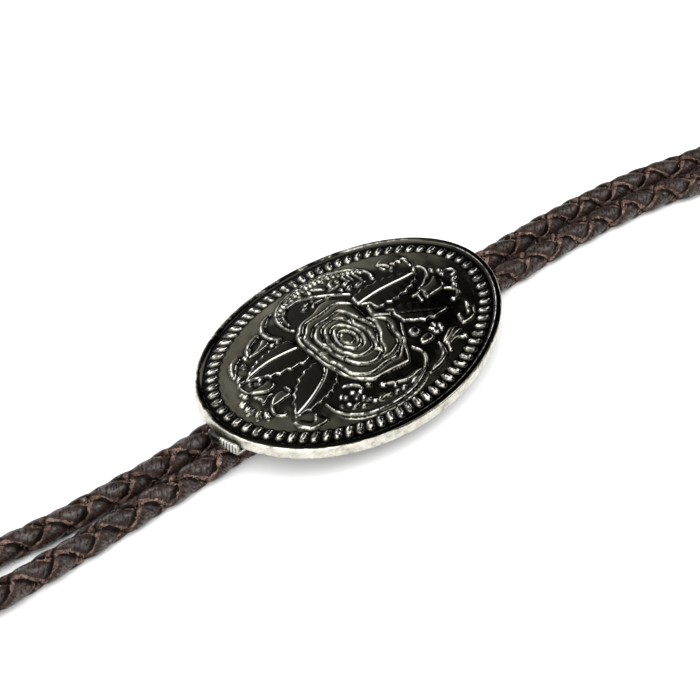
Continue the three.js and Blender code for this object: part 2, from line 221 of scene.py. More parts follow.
# raised bands: half width at the middle, taper at each end (0..1), height, points
BANDS = [
    # top scroll and its inner arc
    (0.36, 0.7, 0.8, -0.08, [(-5.8, 7.2), (-6.3, 8.2), (-6.35, 9.6), (-5.95, 11.0), (-5.1, 12.2), (-3.9, 13.1),
                             (-2.3, 13.9), (-0.3, 14.35), (2.0, 14.6), (4.4, 14.5), (6.8, 14.0), (8.8, 13.2),
                             (10.4, 12.1), (11.5, 10.9), (12.15, 9.6), (12.2, 8.5), (11.7, 7.5)]),
    (0.33, 0.8, 0.7, -0.08, [(-5.35, 8.9), (-5.1, 10.2), (-4.5, 11.2), (-3.4, 11.95), (-2.0, 12.3), (-0.5, 12.25),
                             (0.7, 11.85), (1.8, 11.15), (2.9, 10.4), (3.9, 9.6), (4.9, 8.75), (5.8, 7.9), (6.4, 7.3)]),
    # long curling petal beside it
    (0.55, 0.6, 0.35, -0.1, [(-8.6, 7.4), (-9.4, 8.6), (-9.55, 9.8), (-9.0, 11.0), (-7.9, 12.0), (-6.7, 12.65),
                             (-5.7, 12.85)]),
    # left trumpet's curls
    (0.22, 0.7, 0.7, -0.12, [(-18.8, 4.0), (-19.6, 4.0), (-20.15, 3.4), (-20.25, 2.5), (-20.0, 1.7)]),
    (0.26, 0.6, 1.0, -0.12, [(-19.3, -3.0), (-19.75, -4.1), (-19.4, -5.1), (-18.7, -5.5), (-18.3, -5.2)]),
    # right trumpet's curls
    (0.28, 0.8, 0.6, -0.12, [(17.7, 4.1), (18.4, 4.6), (19.1, 4.3), (19.35, 3.4), (19.1, 2.4), (18.4, 1.7), (17.6, 1.2),
                             (16.7, 0.75), (15.5, 0.45)]),
    (0.3, 0.6, 1.0, -0.12, [(18.6, -2.3), (19.3, -2.9), (19.8, -3.6), (19.6, -4.4), (18.9, -5.0), (18.0, -5.0)]),
    (0.24, 0.7, 0.7, -0.14, [(13.4, -0.2), (14.3, -0.25), (15.1, 0.0)]),
    (0.22, 0.7, 0.7, -0.14, [(14.3, -0.5), (14.0, -1.2), (13.85, -1.9)]),
    (0.26, 0.7, 0.7, -0.12, [(20.5, 0.15), (21.2, 0.55), (22.0, 0.55), (22.65, 0.0), (22.4, -0.75), (21.7, -0.85)]),
    # bottom crescent scroll with its lower fillet
    (0.36, 0.4, 0.7, -0.08, [(-12.6, -8.0), (-12.45, -9.6), (-11.75, -11.0), (-10.7, -12.05), (-9.3, -12.95),
                             (-7.8, -13.55), (-6.0, -13.98), (-4.0, -14.25), (-1.5, -14.25), (0.7, -13.9), (2.6, -13.25),
                             (4.2, -12.5), (5.3, -11.5), (6.0, -10.4), (6.1, -9.4), (5.6, -8.2)]),
    (0.15, 0.2, 0.2, -0.26, [(-12.7, -10.4), (-12.1, -11.6), (-11.0, -12.75), (-9.6, -13.6), (-8.0, -14.2), (-6.1, -14.65),
                             (-4.0, -14.95), (-1.4, -14.95), (0.9, -14.6), (2.9, -13.95), (4.3, -13.3)]),
    (0.32, 0.6, 0.6, -0.12, [(-8.3, -7.1), (-7.2, -7.5), (-6.45, -8.2), (-6.15, -9.0)]),
    (0.36, 0.8, 0.6, -0.12, [(-3.3, -10.7), (-2.0, -11.15), (-0.9, -11.7), (0.3, -12.15), (1.5, -12.3), (2.6, -12.15),
                             (3.4, -12.2)]),
    # lower right lily
    (0.42, 0.35, 0.6, -0.1, [(4.3, -13.55), (5.7, -13.3), (7.0, -13.05), (8.1, -12.65), (8.9, -11.95), (9.25, -11.0),
                             (9.5, -10.2)]),
    (0.36, 0.6, 0.7, -0.12, [(9.9, -12.3), (10.6, -11.45), (11.7, -11.05), (12.7, -11.15), (13.3, -11.7)]),
    (0.3, 0.8, 0.4, -0.12, [(10.4, -10.95), (11.8, -10.6), (13.0, -10.35), (14.1, -10.3)]),
    # stalks and slips in the top scroll
    (0.3, 0.6, 0.7, -0.14, [(2.9, 12.7), (3.6, 12.15), (4.4, 11.3)]),
    (0.22, 0.7, 0.7, -0.14, [(8.65, 11.5), (8.5, 10.6), (8.7, 9.9)]),
    (0.22, 0.7, 0.7, -0.14, [(9.5, 11.3), (9.35, 10.4), (9.4, 9.6)]),
    (0.24, 0.7, 0.7, -0.12, [(10.25, 7.9), (10.45, 9.0), (10.35, 10.1)]),
    (0.28, 0.7, 0.7, -0.14, [(0.2, 9.3), (1.2, 9.75), (2.4, 9.55)]),
    # bud stems
    (0.28, 0.8, 0.6, -0.14, [(18.55, 7.0), (18.45, 6.2), (18.3, 5.5)]),
    (0.24, 0.8, 0.6, -0.14, [(15.9, 7.4), (15.4, 6.95), (15.1, 6.6)]),
    (0.22, 0.7, 0.7, -0.16, [(14.7, 8.8), (14.55, 8.3), (14.7, 7.8)]),
]

# raised flat pads: height, outline
PADS = [
    (-0.1, [(-14.9, 7.95), (-14.2, 9.15), (-12.8, 10.2), (-11.2, 10.75), (-10.3, 10.6), (-10.9, 9.9), (-12.3, 9.4),
            (-13.5, 8.8), (-14.3, 8.05)]),
    (-0.12, [(-14.8, 7.6), (-13.4, 7.95), (-12.0, 8.5), (-10.75, 9.2), (-10.3, 8.4), (-10.7, 7.7), (-12.0, 7.45),
             (-13.5, 7.3)]),
    (-0.1, [(-19.8, 5.7), (-19.2, 7.0), (-18.2, 8.3), (-16.9, 9.0), (-15.8, 8.9), (-16.1, 8.05), (-17.3, 7.45),
            (-18.2, 6.65), (-18.9, 5.75), (-19.5, 5.35)]),
    (-0.12, [(-19.8, 1.6), (-18.6, 1.5), (-17.2, 1.45), (-16.2, 1.6), (-15.7, 0.85), (-16.1, 0.05), (-17.0, -0.2),
             (-18.0, 0.0), (-18.9, 0.55), (-19.7, 1.15)]),
    (-0.14, [(-20.0, 0.4), (-19.7, -0.8), (-19.95, -1.7), (-19.0, -1.5), (-18.1, -1.05), (-17.0, -0.85), (-18.2, -0.55),
             (-19.2, 0.05)]),
    (-0.12, [(-19.3, -2.9), (-18.6, -2.1), (-17.6, -1.55), (-16.3, -1.35), (-15.6, -1.7), (-15.4, -2.85), (-16.8, -2.95),
             (-18.3, -3.05)]),
    (-0.12, [(-18.8, -7.5), (-17.9, -7.65), (-17.2, -8.5), (-16.3, -9.25), (-15.5, -8.5), (-15.05, -8.2), (-14.75, -9.3),
             (-14.4, -10.35), (-15.2, -10.6), (-16.5, -10.5), (-17.6, -10.2), (-18.3, -9.4), (-18.9, -8.5)]),
    (-0.12, [(15.3, -9.75), (15.8, -8.05), (16.5, -7.75), (16.95, -8.6), (17.4, -8.55), (18.5, -7.1), (19.2, -6.45),
             (19.0, -7.3), (18.65, -8.0), (19.4, -7.9), (18.7, -8.95), (18.0, -9.75)]),
    (-0.1, [(14.3, 9.35), (15.3, 9.95), (16.5, 10.05), (17.7, 9.6), (18.6, 8.75), (19.1, 7.6), (18.9, 6.95), (18.2, 7.5),
            (17.6, 7.15), (17.2, 7.7), (16.6, 7.35), (16.2, 7.9), (15.5, 7.65), (15.2, 8.4)]),
    (-0.12, [(15.4, 0.05), (17.0, 0.15), (18.2, 0.55), (19.2, 0.95), (19.4, 0.0), (19.2, -1.35), (18.4, -1.95),
             (16.5, -2.0), (14.9, -1.95), (15.0, -1.1), (15.4, -0.5)]),
    (-0.12, [(10.2, -10.5), (11.8, -9.45), (13.2, -9.05), (13.9, -9.5), (12.8, -10.0), (11.3, -10.6)]),
    (-0.12, [(4.6, 10.35), (5.2, 10.85), (5.6, 11.8), (6.8, 12.1), (7.1, 11.4), (6.5, 10.9), (7.1, 10.35), (6.0, 10.1)]),
    (-0.12, [(-5.9, -12.5), (-5.0, -11.95), (-4.0, -12.05), (-3.3, -12.5), (-3.7, -12.95), (-4.6, -12.75), (-5.4, -12.9)]),
    (-0.14, [(7.3, -8.6), (7.7, -7.8), (8.6, -7.5), (9.6, -7.6), (9.9, -8.2), (9.5, -8.9), (8.4, -9.0)]),
]

# small drops: x, y, half length, half width, turn in degrees
DROPS = [
    (-1.2, 9.75, 0.62, 0.32, 15), (-0.3, 10.45, 0.55, 0.3, 0), (3.3, 9.15, 0.5, 0.34, -20), (1.35, 10.6, 0.5, 0.28, 30),
    (2.05, 12.4, 0.28, 0.45, 10), (0.5, 12.75, 0.36, 0.3, 30), (7.1, 11.05, 0.42, 0.42, 0), (7.7, 9.7, 0.6, 0.36, 20),
    (7.55, 8.5, 0.58, 0.42, 25), (9.2, 8.0, 0.85, 0.42, 5), (6.2, 9.1, 0.25, 0.36, 0), (11.3, 10.2, 0.25, 0.4, 30),
    (10.75, 10.95, 0.25, 0.4, 35), (5.7, 12.95, 0.42, 0.28, 0), (-10.4, 7.1, 0.5, 0.26, 10), (-9.2, 7.0, 0.5, 0.26, 0),
    (-19.0, 4.95, 0.72, 0.27, 25), (-16.75, 6.6, 0.5, 0.42, 45), (-15.4, 7.85, 0.28, 0.4, -20), (-18.65, 2.85, 0.3, 0.25, 30),
    (-17.95, 2.35, 0.26, 0.24, 0), (-17.5, 1.98, 0.26, 0.2, 0), (-16.85, 2.5, 0.48, 0.22, 10), (-15.0, -1.8, 0.25, 0.62, 5),
    (-20.9, 1.65, 0.45, 0.6, 20), (-22.0, 0.45, 0.75, 0.42, 10), (-22.2, -0.85, 0.62, 0.34, 15), (-22.3, -1.65, 0.85, 0.24, 5),
    (-21.7, -2.7, 0.85, 0.34, 25), (-22.2, -3.3, 0.5, 0.26, 15), (-20.85, -3.6, 0.6, 0.38, 50), (-21.0, -4.35, 0.42, 0.24, 20),
    (-9.9, -8.4, 0.5, 0.22, 30), (-9.4, -8.95, 0.42, 0.3, 20), (-8.0, -8.9, 0.4, 0.3, -20), (-6.9, -9.5, 0.42, 0.28, 20),
    (-11.0, -9.8, 0.3, 0.26, 0), (-8.0, -9.9, 0.5, 0.25, 25), (-9.9, -10.3, 0.42, 0.26, -30), (-9.2, -11.1, 0.8, 0.22, 5),
    (-7.3, -10.7, 0.5, 0.22, 40), (-6.8, -11.4, 0.5, 0.24, -10), (-8.2, -11.9, 0.5, 0.24, 0), (-5.0, -9.3, 0.42, 0.34, -40),
    (-6.3, -12.2, 0.42, 0.24, -15), (-2.4, -13.0, 0.46, 0.24, 20), (-1.0, -13.05, 0.46, 0.2, 20), (1.4, -13.0, 0.7, 0.17, 10),
    (-3.2, -10.7, 0.5, 0.42, 0), (-1.7, -11.8, 0.4, 0.2, 40), (8.1, -6.0, 0.95, 0.85, 20), (10.6, -7.4, 0.26, 0.5, 30),
    (11.45, -6.95, 0.26, 0.5, -10), (12.15, -7.55, 0.26, 0.5, -45), (11.85, -8.35, 0.5, 0.26, 35), (10.75, -8.3, 0.5, 0.26, -30),
    (20.75, 1.0, 0.36, 0.72, -30), (21.25, -1.85, 0.68, 0.36, 15), (20.25, -2.95, 0.32, 0.75, -30), (19.9, 2.25, 0.26, 0.46, -15),
    (15.45, -1.2, 0.3, 0.24, 0), (17.9, -5.0, 0.36, 0.34, 0), (13.7, -11.7, 0.3, 0.34, 0),
]
# rows of small beads beside a band: band index, side offset, first and last place, spacing
BEAD_ROWS = [(0, -0.82, 0.30, 0.86, 0.92), (1, 0.78, 0.06, 0.40, 0.86)]
BORDER_BEADS = 75
BORDER_AXES = (25.25, 16.35)      # middle line of the bead border


def relief(P, inset):
    """For chart points P: height of the face below the rim's crown surface (mm), the bead channel's oxide and the
    strength of the pale film, which is thin between the ornaments, with painted shade on the ornaments' tops, on the
    beads and towards the lower right and upper left, and the midrib bevels that get a painted highlight."""
    n = len(P)
    oval = (P[:, 0] / 20.0) ** 2 + (P[:, 1] / 12.5) ** 2
    oval += 0.07 * np.sin(1.9 * P[:, 0] + 0.7 * P[:, 1]) + 0.05 * np.sin(2.3 * P[:, 1] - 1.1 * P[:, 0])
    film_and_painted_light = 0.16 + 0.84 * smooth((oval - 0.86) / 0.34)
    # painted shade: the film is darkened towards the lower right and towards the upper left of the face
    film_and_painted_light *= 1 - 0.65 * smooth((P[:, 0] - 6) / 9) * smooth((4 - P[:, 1]) / 4)
    film_and_painted_light *= 1 - 0.3 * smooth((-6 - P[:, 0]) / 6) * smooth((P[:, 1] - 4) / 5)
    h = np.full(n, FIELD)
    ridge = np.zeros(n)
    h += 0.012 * np.sin(P[:, 0] * 1.7 + 0.6 * P[:, 1]) * np.sin(P[:, 1] * 1.3 - 0.3 * P[:, 0])

    def shoulder(sd, r, step=0.16):
        """Share of the full height at a distance inside an edge: a short wall, then a rounded shoulder."""
        k = np.clip(sd / r, 0, 1)
        return 0.2 * smooth(0.5 + sd / step) + 0.8 * np.sqrt(1 - (1 - k) ** 2)

    def raise_to(idx, amount, top):
        h[idx] = np.maximum(h[idx], FIELD + (top - FIELD) * amount)

    def sharp_line(outline):
        p = np.asarray(outline, float)
        q = np.vstack([p, p[:1]])
        out = []
        for a, b in zip(q[:-1], q[1:]):
            m = max(2, int(np.linalg.norm(b - a) / 0.12))
            out.append(a + (b - a) * (np.arange(m) / m)[:, None])
        return np.vstack(out)

    def pad(outline, top, r=0.42, crown=0.04, round_in=1.2, sharp=False, tone=0.60):
        line = sharp_line(outline) if sharp else curve(outline, True)
        idx, d, _ = near(P, line, 0.6, True)
        sd = np.where(inside(P[idx], line), d, -d)
        # painted shade: the film on a pad's top is set per element, dark on the leaves and lighter on the rose
        film_and_painted_light[idx[sd > 0]] = tone
        raise_to(idx, shoulder(sd, r) + crown * smooth(sd / round_in) / (top - FIELD), top)

    def cut(points, half, bottom, r=0.26, taper=0.25):
        """Groove with rounded shoulders: half is the half width of its floor."""
        line = curve(points)
        idx, d, t = near(P, line, half + r + 0.1)
        w = half * np.minimum(1, 0.4 + np.minimum(t, 1 - t) / taper)
        k = 1 - shoulder(d - w, r, 0.12)
        h[idx] += (np.minimum(h[idx], bottom) - h[idx]) * k

    def vein(points, slope):
        """Midrib: the far half of a leaf ends in a bevel above a thin groove and the near half; the bevel carries a
        painted highlight.
        """
        line = curve(points)
        idx, d, t = near(P, line, 0.8)
        q = np.gradient(line, axis=0)
        j = np.clip((t * (len(line) - 1)).round().astype(int), 0, len(line) - 1)
        tn = q[j] / np.linalg.norm(q[j], axis=1)[:, None]
        off = P[idx] - line[j]
        side = off[:, 1] * np.abs(tn[:, 0]) - off[:, 0] * tn[:, 1] * np.sign(tn[:, 0])
        f = np.where(side > 0, slope * np.clip(0.32 - side, 0, 0.32), (slope * 0.32 + 0.06) * np.clip(1 + (side + 0.05) / 0.26, 0, 1))
        fade = np.minimum(1, np.minimum(t, 1 - t) * 14 + 0.2)
        h[idx] -= f * fade
        ridge[idx] = np.maximum(ridge[idx], smooth((side - 0.02) / 0.08) * smooth((0.38 - side) / 0.08) * fade * min(1, slope / 0.4) ** 2)

    def band(points, half, t0, t1, top, crown=0.03):
        line = curve(points)
        idx, d, t = near(P, line, half + 0.4)
        w = half * np.minimum(1, np.minimum(t0 + (1 - t0) * t / 0.25, t1 + (1 - t1) * (1 - t) / 0.25))
        # painted shade: a band's top gets one lower film value
        film_and_painted_light[idx[w > d]] = 0.45
        raise_to(idx, shoulder(w - d, 0.36) + crown * smooth((w - d) / half) / (top - FIELD), top)

    def drop(x, y, a, b, turn, top=0.0):
        r = math.radians(turn)
        m = max(a, b) + 0.4
        idx = np.nonzero((abs(P[:, 0] - x) < m) & (abs(P[:, 1] - y) < m))[0]
        dx, dy = P[idx, 0] - x, P[idx, 1] - y
        u, v = dx * math.cos(r) + dy * math.sin(r), -dx * math.sin(r) + dy * math.cos(r)
        q = np.sqrt((u / (a + 0.10)) ** 2 + (v / (b + 0.10)) ** 2)
        raise_to(idx, np.sqrt(np.clip(1 - q * q, 0, 1)), top)

    for half, t0, t1, top, pts in BANDS:
        band(pts, half, t0, t1, top)
    for top, outline in PADS:
        pad(outline, top)
    for d in DROPS:
        drop(*d)
    for k, off, first, last, gap in BEAD_ROWS:
        line = curve(BANDS[k][4])
        seg = np.diff(line, axis=0)
        cum = np.concatenate([[0], np.cumsum(np.linalg.norm(seg, axis=1))])
        for s in np.arange(first * cum[-1], last * cum[-1], gap):
            i = min(np.searchsorted(cum, s), len(seg) - 1)
            t = seg[i] / np.linalg.norm(seg[i])
            c = line[i] + off * np.array([-t[1], t[0]])
            drop(c[0], c[1], 0.3, 0.42, math.degrees(math.atan2(t[1], t[0])) + 18)
    for outline, rib, slope in LEAVES:
        pad(outline, -0.07, r=0.27, crown=0.05, round_in=1.7, sharp=True, tone=0.20)
        vein(rib, slope)
    pad(SIDE_PETAL, -0.08, crown=0.04)
    pad(ROSE, -0.02, r=0.55, crown=0.05, tone=0.70)
    for half, pts in ROSE_GROOVES:
        cut(pts, half * 0.36, FIELD + 0.05, r=0.52, taper=0.06)

    # border of short radial bars
    ang = np.arctan2(P[:, 1] / BORDER_AXES[1], P[:, 0] / BORDER_AXES[0])
    ring = np.linspace(0, 2 * np.pi, 7201)
    rx, ry = BORDER_AXES[0] * np.cos(ring), BORDER_AXES[1] * np.sin(ring)
    arc = np.concatenate([[0], np.cumsum(np.hypot(np.diff(rx), np.diff(ry)))])
    pitch = arc[-1] / BORDER_BEADS
    s = np.interp(np.mod(ang, 2 * np.pi), ring, arc)
    k = np.floor(s / pitch)
    along = (s / pitch - k - 0.5) * pitch + 0.07 * (hash01(k + 3) - 0.5)
    mid = 2.78 + 0.1 * (hash01(k + 11) - 0.5)
    long_half = 0.88 + 0.1 * (hash01(k + 31) - 0.5)
    wide_half = 0.51 + 0.05 * (hash01(k + 71) - 0.5)
    q = (np.abs(inset - mid) / (long_half + 0.08)) ** 2.5 + (along / (wide_half + 0.07)) ** 2
    amount = np.sqrt(np.clip(1 - q, 0, 1))
    m = inset < 4.6
    h[m] = np.maximum(h[m], FIELD + (0.02 - FIELD) * amount[m])
    # painted shade: the film is dimmed on the beads' tops
    film_and_painted_light[m] *= 1 - 0.32 * smooth(amount[m] / 0.5)
    oxide = smooth((inset - 0.75) / 0.4) * smooth((4.0 - inset) / 0.4) * (1 - smooth(amount / 0.7))

    # raised rim, rounded at its outer edge
    rim = smooth((1.24 - inset) / 0.26)
    wave = 0.02 * np.sin(ang * 9.0 + 0.7) + 0.012 * np.sin(ang * 23.0)
    h = h + (wave * 0.5 - h) * rim
    away = smooth((P[:, 1] / B - 0.25 * P[:, 0] / A + 0.2) / 0.6)
    h = np.where(inset < 1.3, np.minimum(h, wave * 0.5 - 0.5 * away * np.clip(inset - 0.55, 0, 0.6)), h)    # rubbed inner edge
    e = np.clip(0.34 - inset, 0, 0.34)
    h -= 0.34 - np.sqrt(0.34 ** 2 - e ** 2)
    film_and_painted_light[inset < 1.3] = 0.14
    return h, oxide, film_and_painted_light, ridge


def stitch(a0, na, b0, nb):
    """Triangles between two rings of different counts, both counter-clockwise, a inside b."""
    out = []
    i = j = 0
    while i < na or j < nb:
        if j < nb and (i == na or (j + 1) / nb <= (i + 1) / na):
            out.append((a0 + i % na, b0 + j % nb, b0 + (j + 1) % nb))
            j += 1
        else:
            out.append((a0 + i % na, b0 + j % nb, a0 + (i + 1) % na))
            i += 1
    return out


def vertex_normals(V, F):
    """Mean of the unit normals of the triangles round each vertex."""
    e = np.cross(V[F[:, 1]] - V[F[:, 0]], V[F[:, 2]] - V[F[:, 0]])
    e /= np.maximum(np.linalg.norm(e, axis=1), 1e-12)[:, None]
    N = np.column_stack([sum(np.bincount(F[:, j], weights=e[:, c], minlength=len(V)) for j in range(3)) for c in range(3)])
    return N / np.maximum(np.linalg.norm(N, axis=1), 1e-12)[:, None]


def blurred(h, F, rounds):
    """Heights evened out with their neighbours' on the net."""
    n = len(h)
    w = np.maximum(np.bincount(F.ravel(), minlength=n) * 2.0, 1.0)
    for _ in range(rounds):
        total = h[F].sum(1)
        h = 0.4 * h + 0.6 * sum(np.bincount(F[:, j], weights=total - h[F[:, j]], minlength=n) for j in range(3)) / w
    return h


FINE = 134                   # rings of the face's net inside the bead border


def make_plate():
    """The plate as one closed mesh: a fine net of rings for the face, then the side and the back."""
    insets = list(np.arange(4.91, 0.5, -0.15)) + [0.44, 0.33, 0.22, 0.12, 0.05, 0.0]
    axes = [(23.0 * k / FINE, 14.1 * k / FINE) for k in range(1, FINE + 1)] + [(A - i, B - i) for i in insets]
    count = len(axes)
    starts = np.concatenate([[0, 1], 1 + np.cumsum(6 * np.arange(1, count + 1))])
    rings, inset = [np.zeros((1, 2))], [np.array([99.0])]
    for k, ((ax, ay), i) in enumerate(zip(axes, [99.0] * FINE + insets), 1):
        t = np.arange(6 * k) / (6 * k) * 2 * np.pi
        rings.append(np.column_stack([ax * np.cos(t), ay * np.sin(t)]))
        inset.append(np.full(6 * k, i))
    P, inset = np.vstack(rings), np.concatenate(inset)

    def sector(q):
        """Triangles of one sixth of the net, all looking up."""
        out = []
        for k in range(count):
            i = np.arange(k + 1)
            inner, outer = max(1, 6 * k), 6 * (k + 1)
            a = starts[k] + (q * k + i) % inner
            b = starts[k + 1] + (q * (k + 1) + i) % outer
            b_next = starts[k + 1] + (q * (k + 1) + i + 1) % outer
            out.append(np.column_stack([a, b, b_next]))
            out.append(np.column_stack([a, b_next, starts[k] + (q * k + i + 1) % inner])[:k])
        return np.vstack(out)

    sectors = [sector(q) for q in range(6)]
    net = np.vstack(sectors)
    h, oxide, film_and_painted_light, ridge = relief(P, inset)
    film_and_painted_light = [film_and_painted_light]
    even = blurred(h, net, 3)
    wide = blurred(even, net, 16)
    film_and_painted_light[0] = film_and_painted_light[0] * (1 - 0.86 * smooth((wide - h - 0.015) / 0.10))      # painted shade: the film is darkened at the foot of every wall
    film_and_painted_light[0] += (1.25 - film_and_painted_light[0]) * ridge                                     # painted highlight: the midribs' bevels get a film value above one
    V = [np.column_stack([P, TOP - ARCH * (P[:, 1] / B) ** 2 + h])]
    far = smooth((P[:, 1] / B - 0.25 * P[:, 0] / A + 0.2) / 0.6)        # painted highlight: the far side of the rim gets pale metal over a wider band
    wear_and_highlight = [np.maximum(smooth((0.48 - inset) / 0.48) * 0.92, far * smooth((1.25 - inset) / 0.5) * 0.60)]
    cav = [np.clip(-h / 0.46, 0, 1)]                  # how far a point lies below the rim's level
    crease = [np.clip(0.5 + (even - h) / 0.16 * smooth((inset - 0.6) / 0.5) + 0.5 * oxide, 0, 1)]   # above a half in a crease, below it on an edge
    # the painted midrib highlights are kept clear of the crease oxide and the edge polish
    crease[0] += (0.5 - crease[0]) * ridge
    body = []
    n = 6 * count
    prev, prev_n, total = starts[-2], n, starts[-1]

    def ring_at(inset_mm, depth, points, rough=0.0):
        tt = np.arange(points) / points * 2 * np.pi
        ax, ay = A - inset_mm, B - inset_mm
        if inset_mm > 5:
            f = (A - inset_mm) / 23.0
            ax, ay = 23.0 * f, 14.1 * f
        x, y = ax * np.cos(tt), ay * np.sin(tt)
        if rough:
            d = rough * (noise1(tt * 40, depth) + 0.6 * noise1(tt * 130, depth + 3))
            x, y = x + d * np.cos(tt), y + d * np.sin(tt)
        return np.column_stack([x, y, TOP - depth - ARCH * (y / B) ** 2])

    def add(r, w, c):
        nonlocal prev, prev_n, total
        V.append(r)
        wear_and_highlight.append(np.full(len(r), w))
        cav.append(np.full(len(r), c))
        crease.append(np.full(len(r), 0.5))
        film_and_painted_light.append(np.full(len(r), 0.35))
        body.extend(stitch(prev, prev_n, total, len(r)))
        prev, prev_n = total, len(r)
        total += len(r)

    for inset_mm, depth, w in ((-0.02, 0.6, 0.85), (-0.03, 0.95, 1.0), (-0.02, 1.3, 1.0), (-0.03, 1.7, 1.0), (0.0, 1.95, 1.0),
                               (0.1, 2.12, 0.8), (0.28, THICK, 0.5)):
        add(ring_at(inset_mm, depth, n, 0.018 if 0.5 < depth < 2 else 0.0), w, 0.0)
    # back: a flat border, a shallow panel, and a raised pad where the clip is joined
    for inset_mm, depth, points in ((1.0, THICK, 480), (1.9, THICK, 480), (2.1, THICK - 0.12, 480), (2.4, THICK - 0.45, 480),
                                    (2.7, THICK - 0.5, 480), (6.0, THICK - 0.5, 320), (10.0, THICK - 0.5, 240)):
        add(ring_at(inset_mm, depth, points), 0.3, 0.3)
    c = 240
    tt = np.arange(c) / c * 2 * np.pi

    def pad_ring(hx, hy, depth):
        p = 5.0
        r = (np.abs(np.cos(tt) / hx) ** p + np.abs(np.sin(tt) / hy) ** p) ** (-1 / p)
        y = r * np.sin(tt)
        flat = TOP - depth
        z = flat - ARCH * (y / B) ** 2 if depth < THICK else np.full(c, flat)
        return np.column_stack([r * np.cos(tt), y, z])
    add(pad_ring(15.6, 5.3, THICK - 0.5), 0.3, 0.3)
    add(pad_ring(15.3, 5.0, THICK - 0.35), 0.3, 0.2)
    add(pad_ring(15.1, 4.8, THICK + 0.3), 0.3, 0.1)
    add(pad_ring(14.8, 4.5, THICK + 0.42), 0.3, 0.1)
    add(pad_ring(8.0, 2.5, THICK + 0.42), 0.3, 0.1)
    V.append(np.array([[0.0, 0.0, TOP - THICK - 0.42]]))
    wear_and_highlight.append(np.array([0.3]))
    cav.append(np.array([0.1]))
    crease.append(np.array([0.5]))
    film_and_painted_light.append(np.array([0.35]))
    body += [(prev + i, total, prev + (i + 1) % c) for i in range(c)]

    verts = np.vstack(V)
    verts[:, 0] += SHIFT
    body = np.array(body)
    N = vertex_normals(verts, np.vstack([net, body]))
    values = {"wear_and_highlight": np.concatenate(wear_and_highlight), "cavity": np.concatenate(cav), "crease": np.concatenate(crease),
              "film_and_painted_light": np.concatenate(film_and_painted_light)}
    pieces = []
    for name, f in [("slide_plate_casting", np.vstack([net, body]))]:
        used, local = np.unique(f, return_inverse=True)
        ob = new_mesh(name, verts[used], local.reshape(-1, 3))
        ob.data.normals_split_custom_set_from_vertices(N[used].tolist())
        for key, v in values.items():
            attribute(ob, key, v[used])
        pieces.append(ob)
    return pieces


# ------------------------------------------------------------------ the cord's route (mm)
FLOOR = CORD_D / 2
INCLIP = SHEET + CLIP_BORE_R
PAIR = [  # x, middle, half spacing, height
    (-64, 3.05, 3.35, 2.55), (-54, 2.10, 2.80, FLOOR + 0.02), (-44, 1.42, 2.50, FLOOR), (-34, 0.88, 2.37, FLOOR),
    (-18, 0.0, CLIP_SPACING / 2, INCLIP), (0, 0.0, CLIP_SPACING / 2, INCLIP), (18, 0.0, CLIP_SPACING / 2, INCLIP),
    (34, -0.75, 2.37, FLOOR), (46, -1.42, 2.35, FLOOR), (58, -2.78, 2.35, FLOOR), (68, -4.75, 2.42, FLOOR),
    (77, -7.50, 2.60, FLOOR)]
LOOP_REAR = [(90, -7.4), (103, -5.6), (118, 2.4), (134, 10.2), (155, 15.4), (182, 16.7)]
LOOP_FRONT = [(182, -16.9), (150, -17.0), (118, -16.6), (95, -14.6)]
LOOP_END = (204.3, -0.1, 16.8, (70, 35, 0, -35, -70))


def strand(side):
    out = []
    for i, (x, mid, half, z) in enumerate(PAIR):
        a, b = PAIR[max(0, i - 1)], PAIR[min(len(PAIR) - 1, i + 1)]
        t = np.array([b[0] - a[0], b[1] - a[1]], float)
        t /= np.linalg.norm(t)
        out.append((x - t[1] * half * side, mid + t[0] * half * side, z))
    return np.array(out)


def tip_place(st):
    d = st[0] - st[1]
    d[2] = 0
    d /= np.linalg.norm(d)
    k = (TIP_X - st[0][0]) / d[0]
    mouth = np.array([TIP_X, st[0][1] + d[1] * k, TIP_R + 0.09])
    d[2] = -(TIP_R - TIP_END_R) / (TIP_LENGTH - 2)
    return mouth, d / np.linalg.norm(d)


REAR, FRONT = strand(1), strand(-1)
TIP_A, TIP_B = tip_place(REAR), tip_place(FRONT)
_turn = [(LOOP_END[0] + LOOP_END[2] * math.cos(math.radians(g)), LOOP_END[1] + LOOP_END[2] * math.sin(math.radians(g)), FLOOR)
         for g in LOOP_END[3]]
ROUTE = np.vstack([
    TIP_A[0] + TIP_A[1] * CORD_IN_TIP, TIP_A[0], REAR, [(x, y, FLOOR) for x, y in LOOP_REAR], _turn,
    [(x, y, FLOOR) for x, y in LOOP_FRONT], FRONT[::-1], TIP_B[0], TIP_B[0] + TIP_B[1] * CORD_IN_TIP])
_fine = curve(ROUTE, False, 0.25)
_s = np.concatenate([[0], np.cumsum(np.linalg.norm(np.diff(_fine, axis=0), axis=1))])
CORD_LEN = float(_s[-1])


def route_at(s):
    s = np.clip(s, 0, CORD_LEN)
    return np.column_stack([np.interp(s, _s, _fine[:, k]) for k in range(3)])


# Braid: two strips wind one way and two the other in a plain weave. Each lies on the
# outside over every other crossing and dips under at the ones between; the cut sides of
# the strips are left raw.
PITCH = 14.8                 # one full turn of a strip
LACE_T = 1.0                 # strip thickness
LACE_TOP = 1.32              # half width of the finished grain side
LACE_BASE = 2.40             # half width at the flesh side
R_MID = 1.56
R_WAVE = 0.17
R_WRAP = 1.9
HELIX = math.atan(2 * math.pi * R_WRAP / PITCH)
# how the braid sits: place along the cord (share of its length), roll in degrees, shift in mm
SETTLE = [(0.0, 88.0, 0.0), (0.28, 88.0, 0.0), (0.42, 95.0, 1.0), (0.62, 95.0, 1.0), (0.76, 92.0, 0.0), (0.82, 95.0, 0.0),
          (0.88, 92.0, 0.0), (1.0, 92.0, 0.0)]


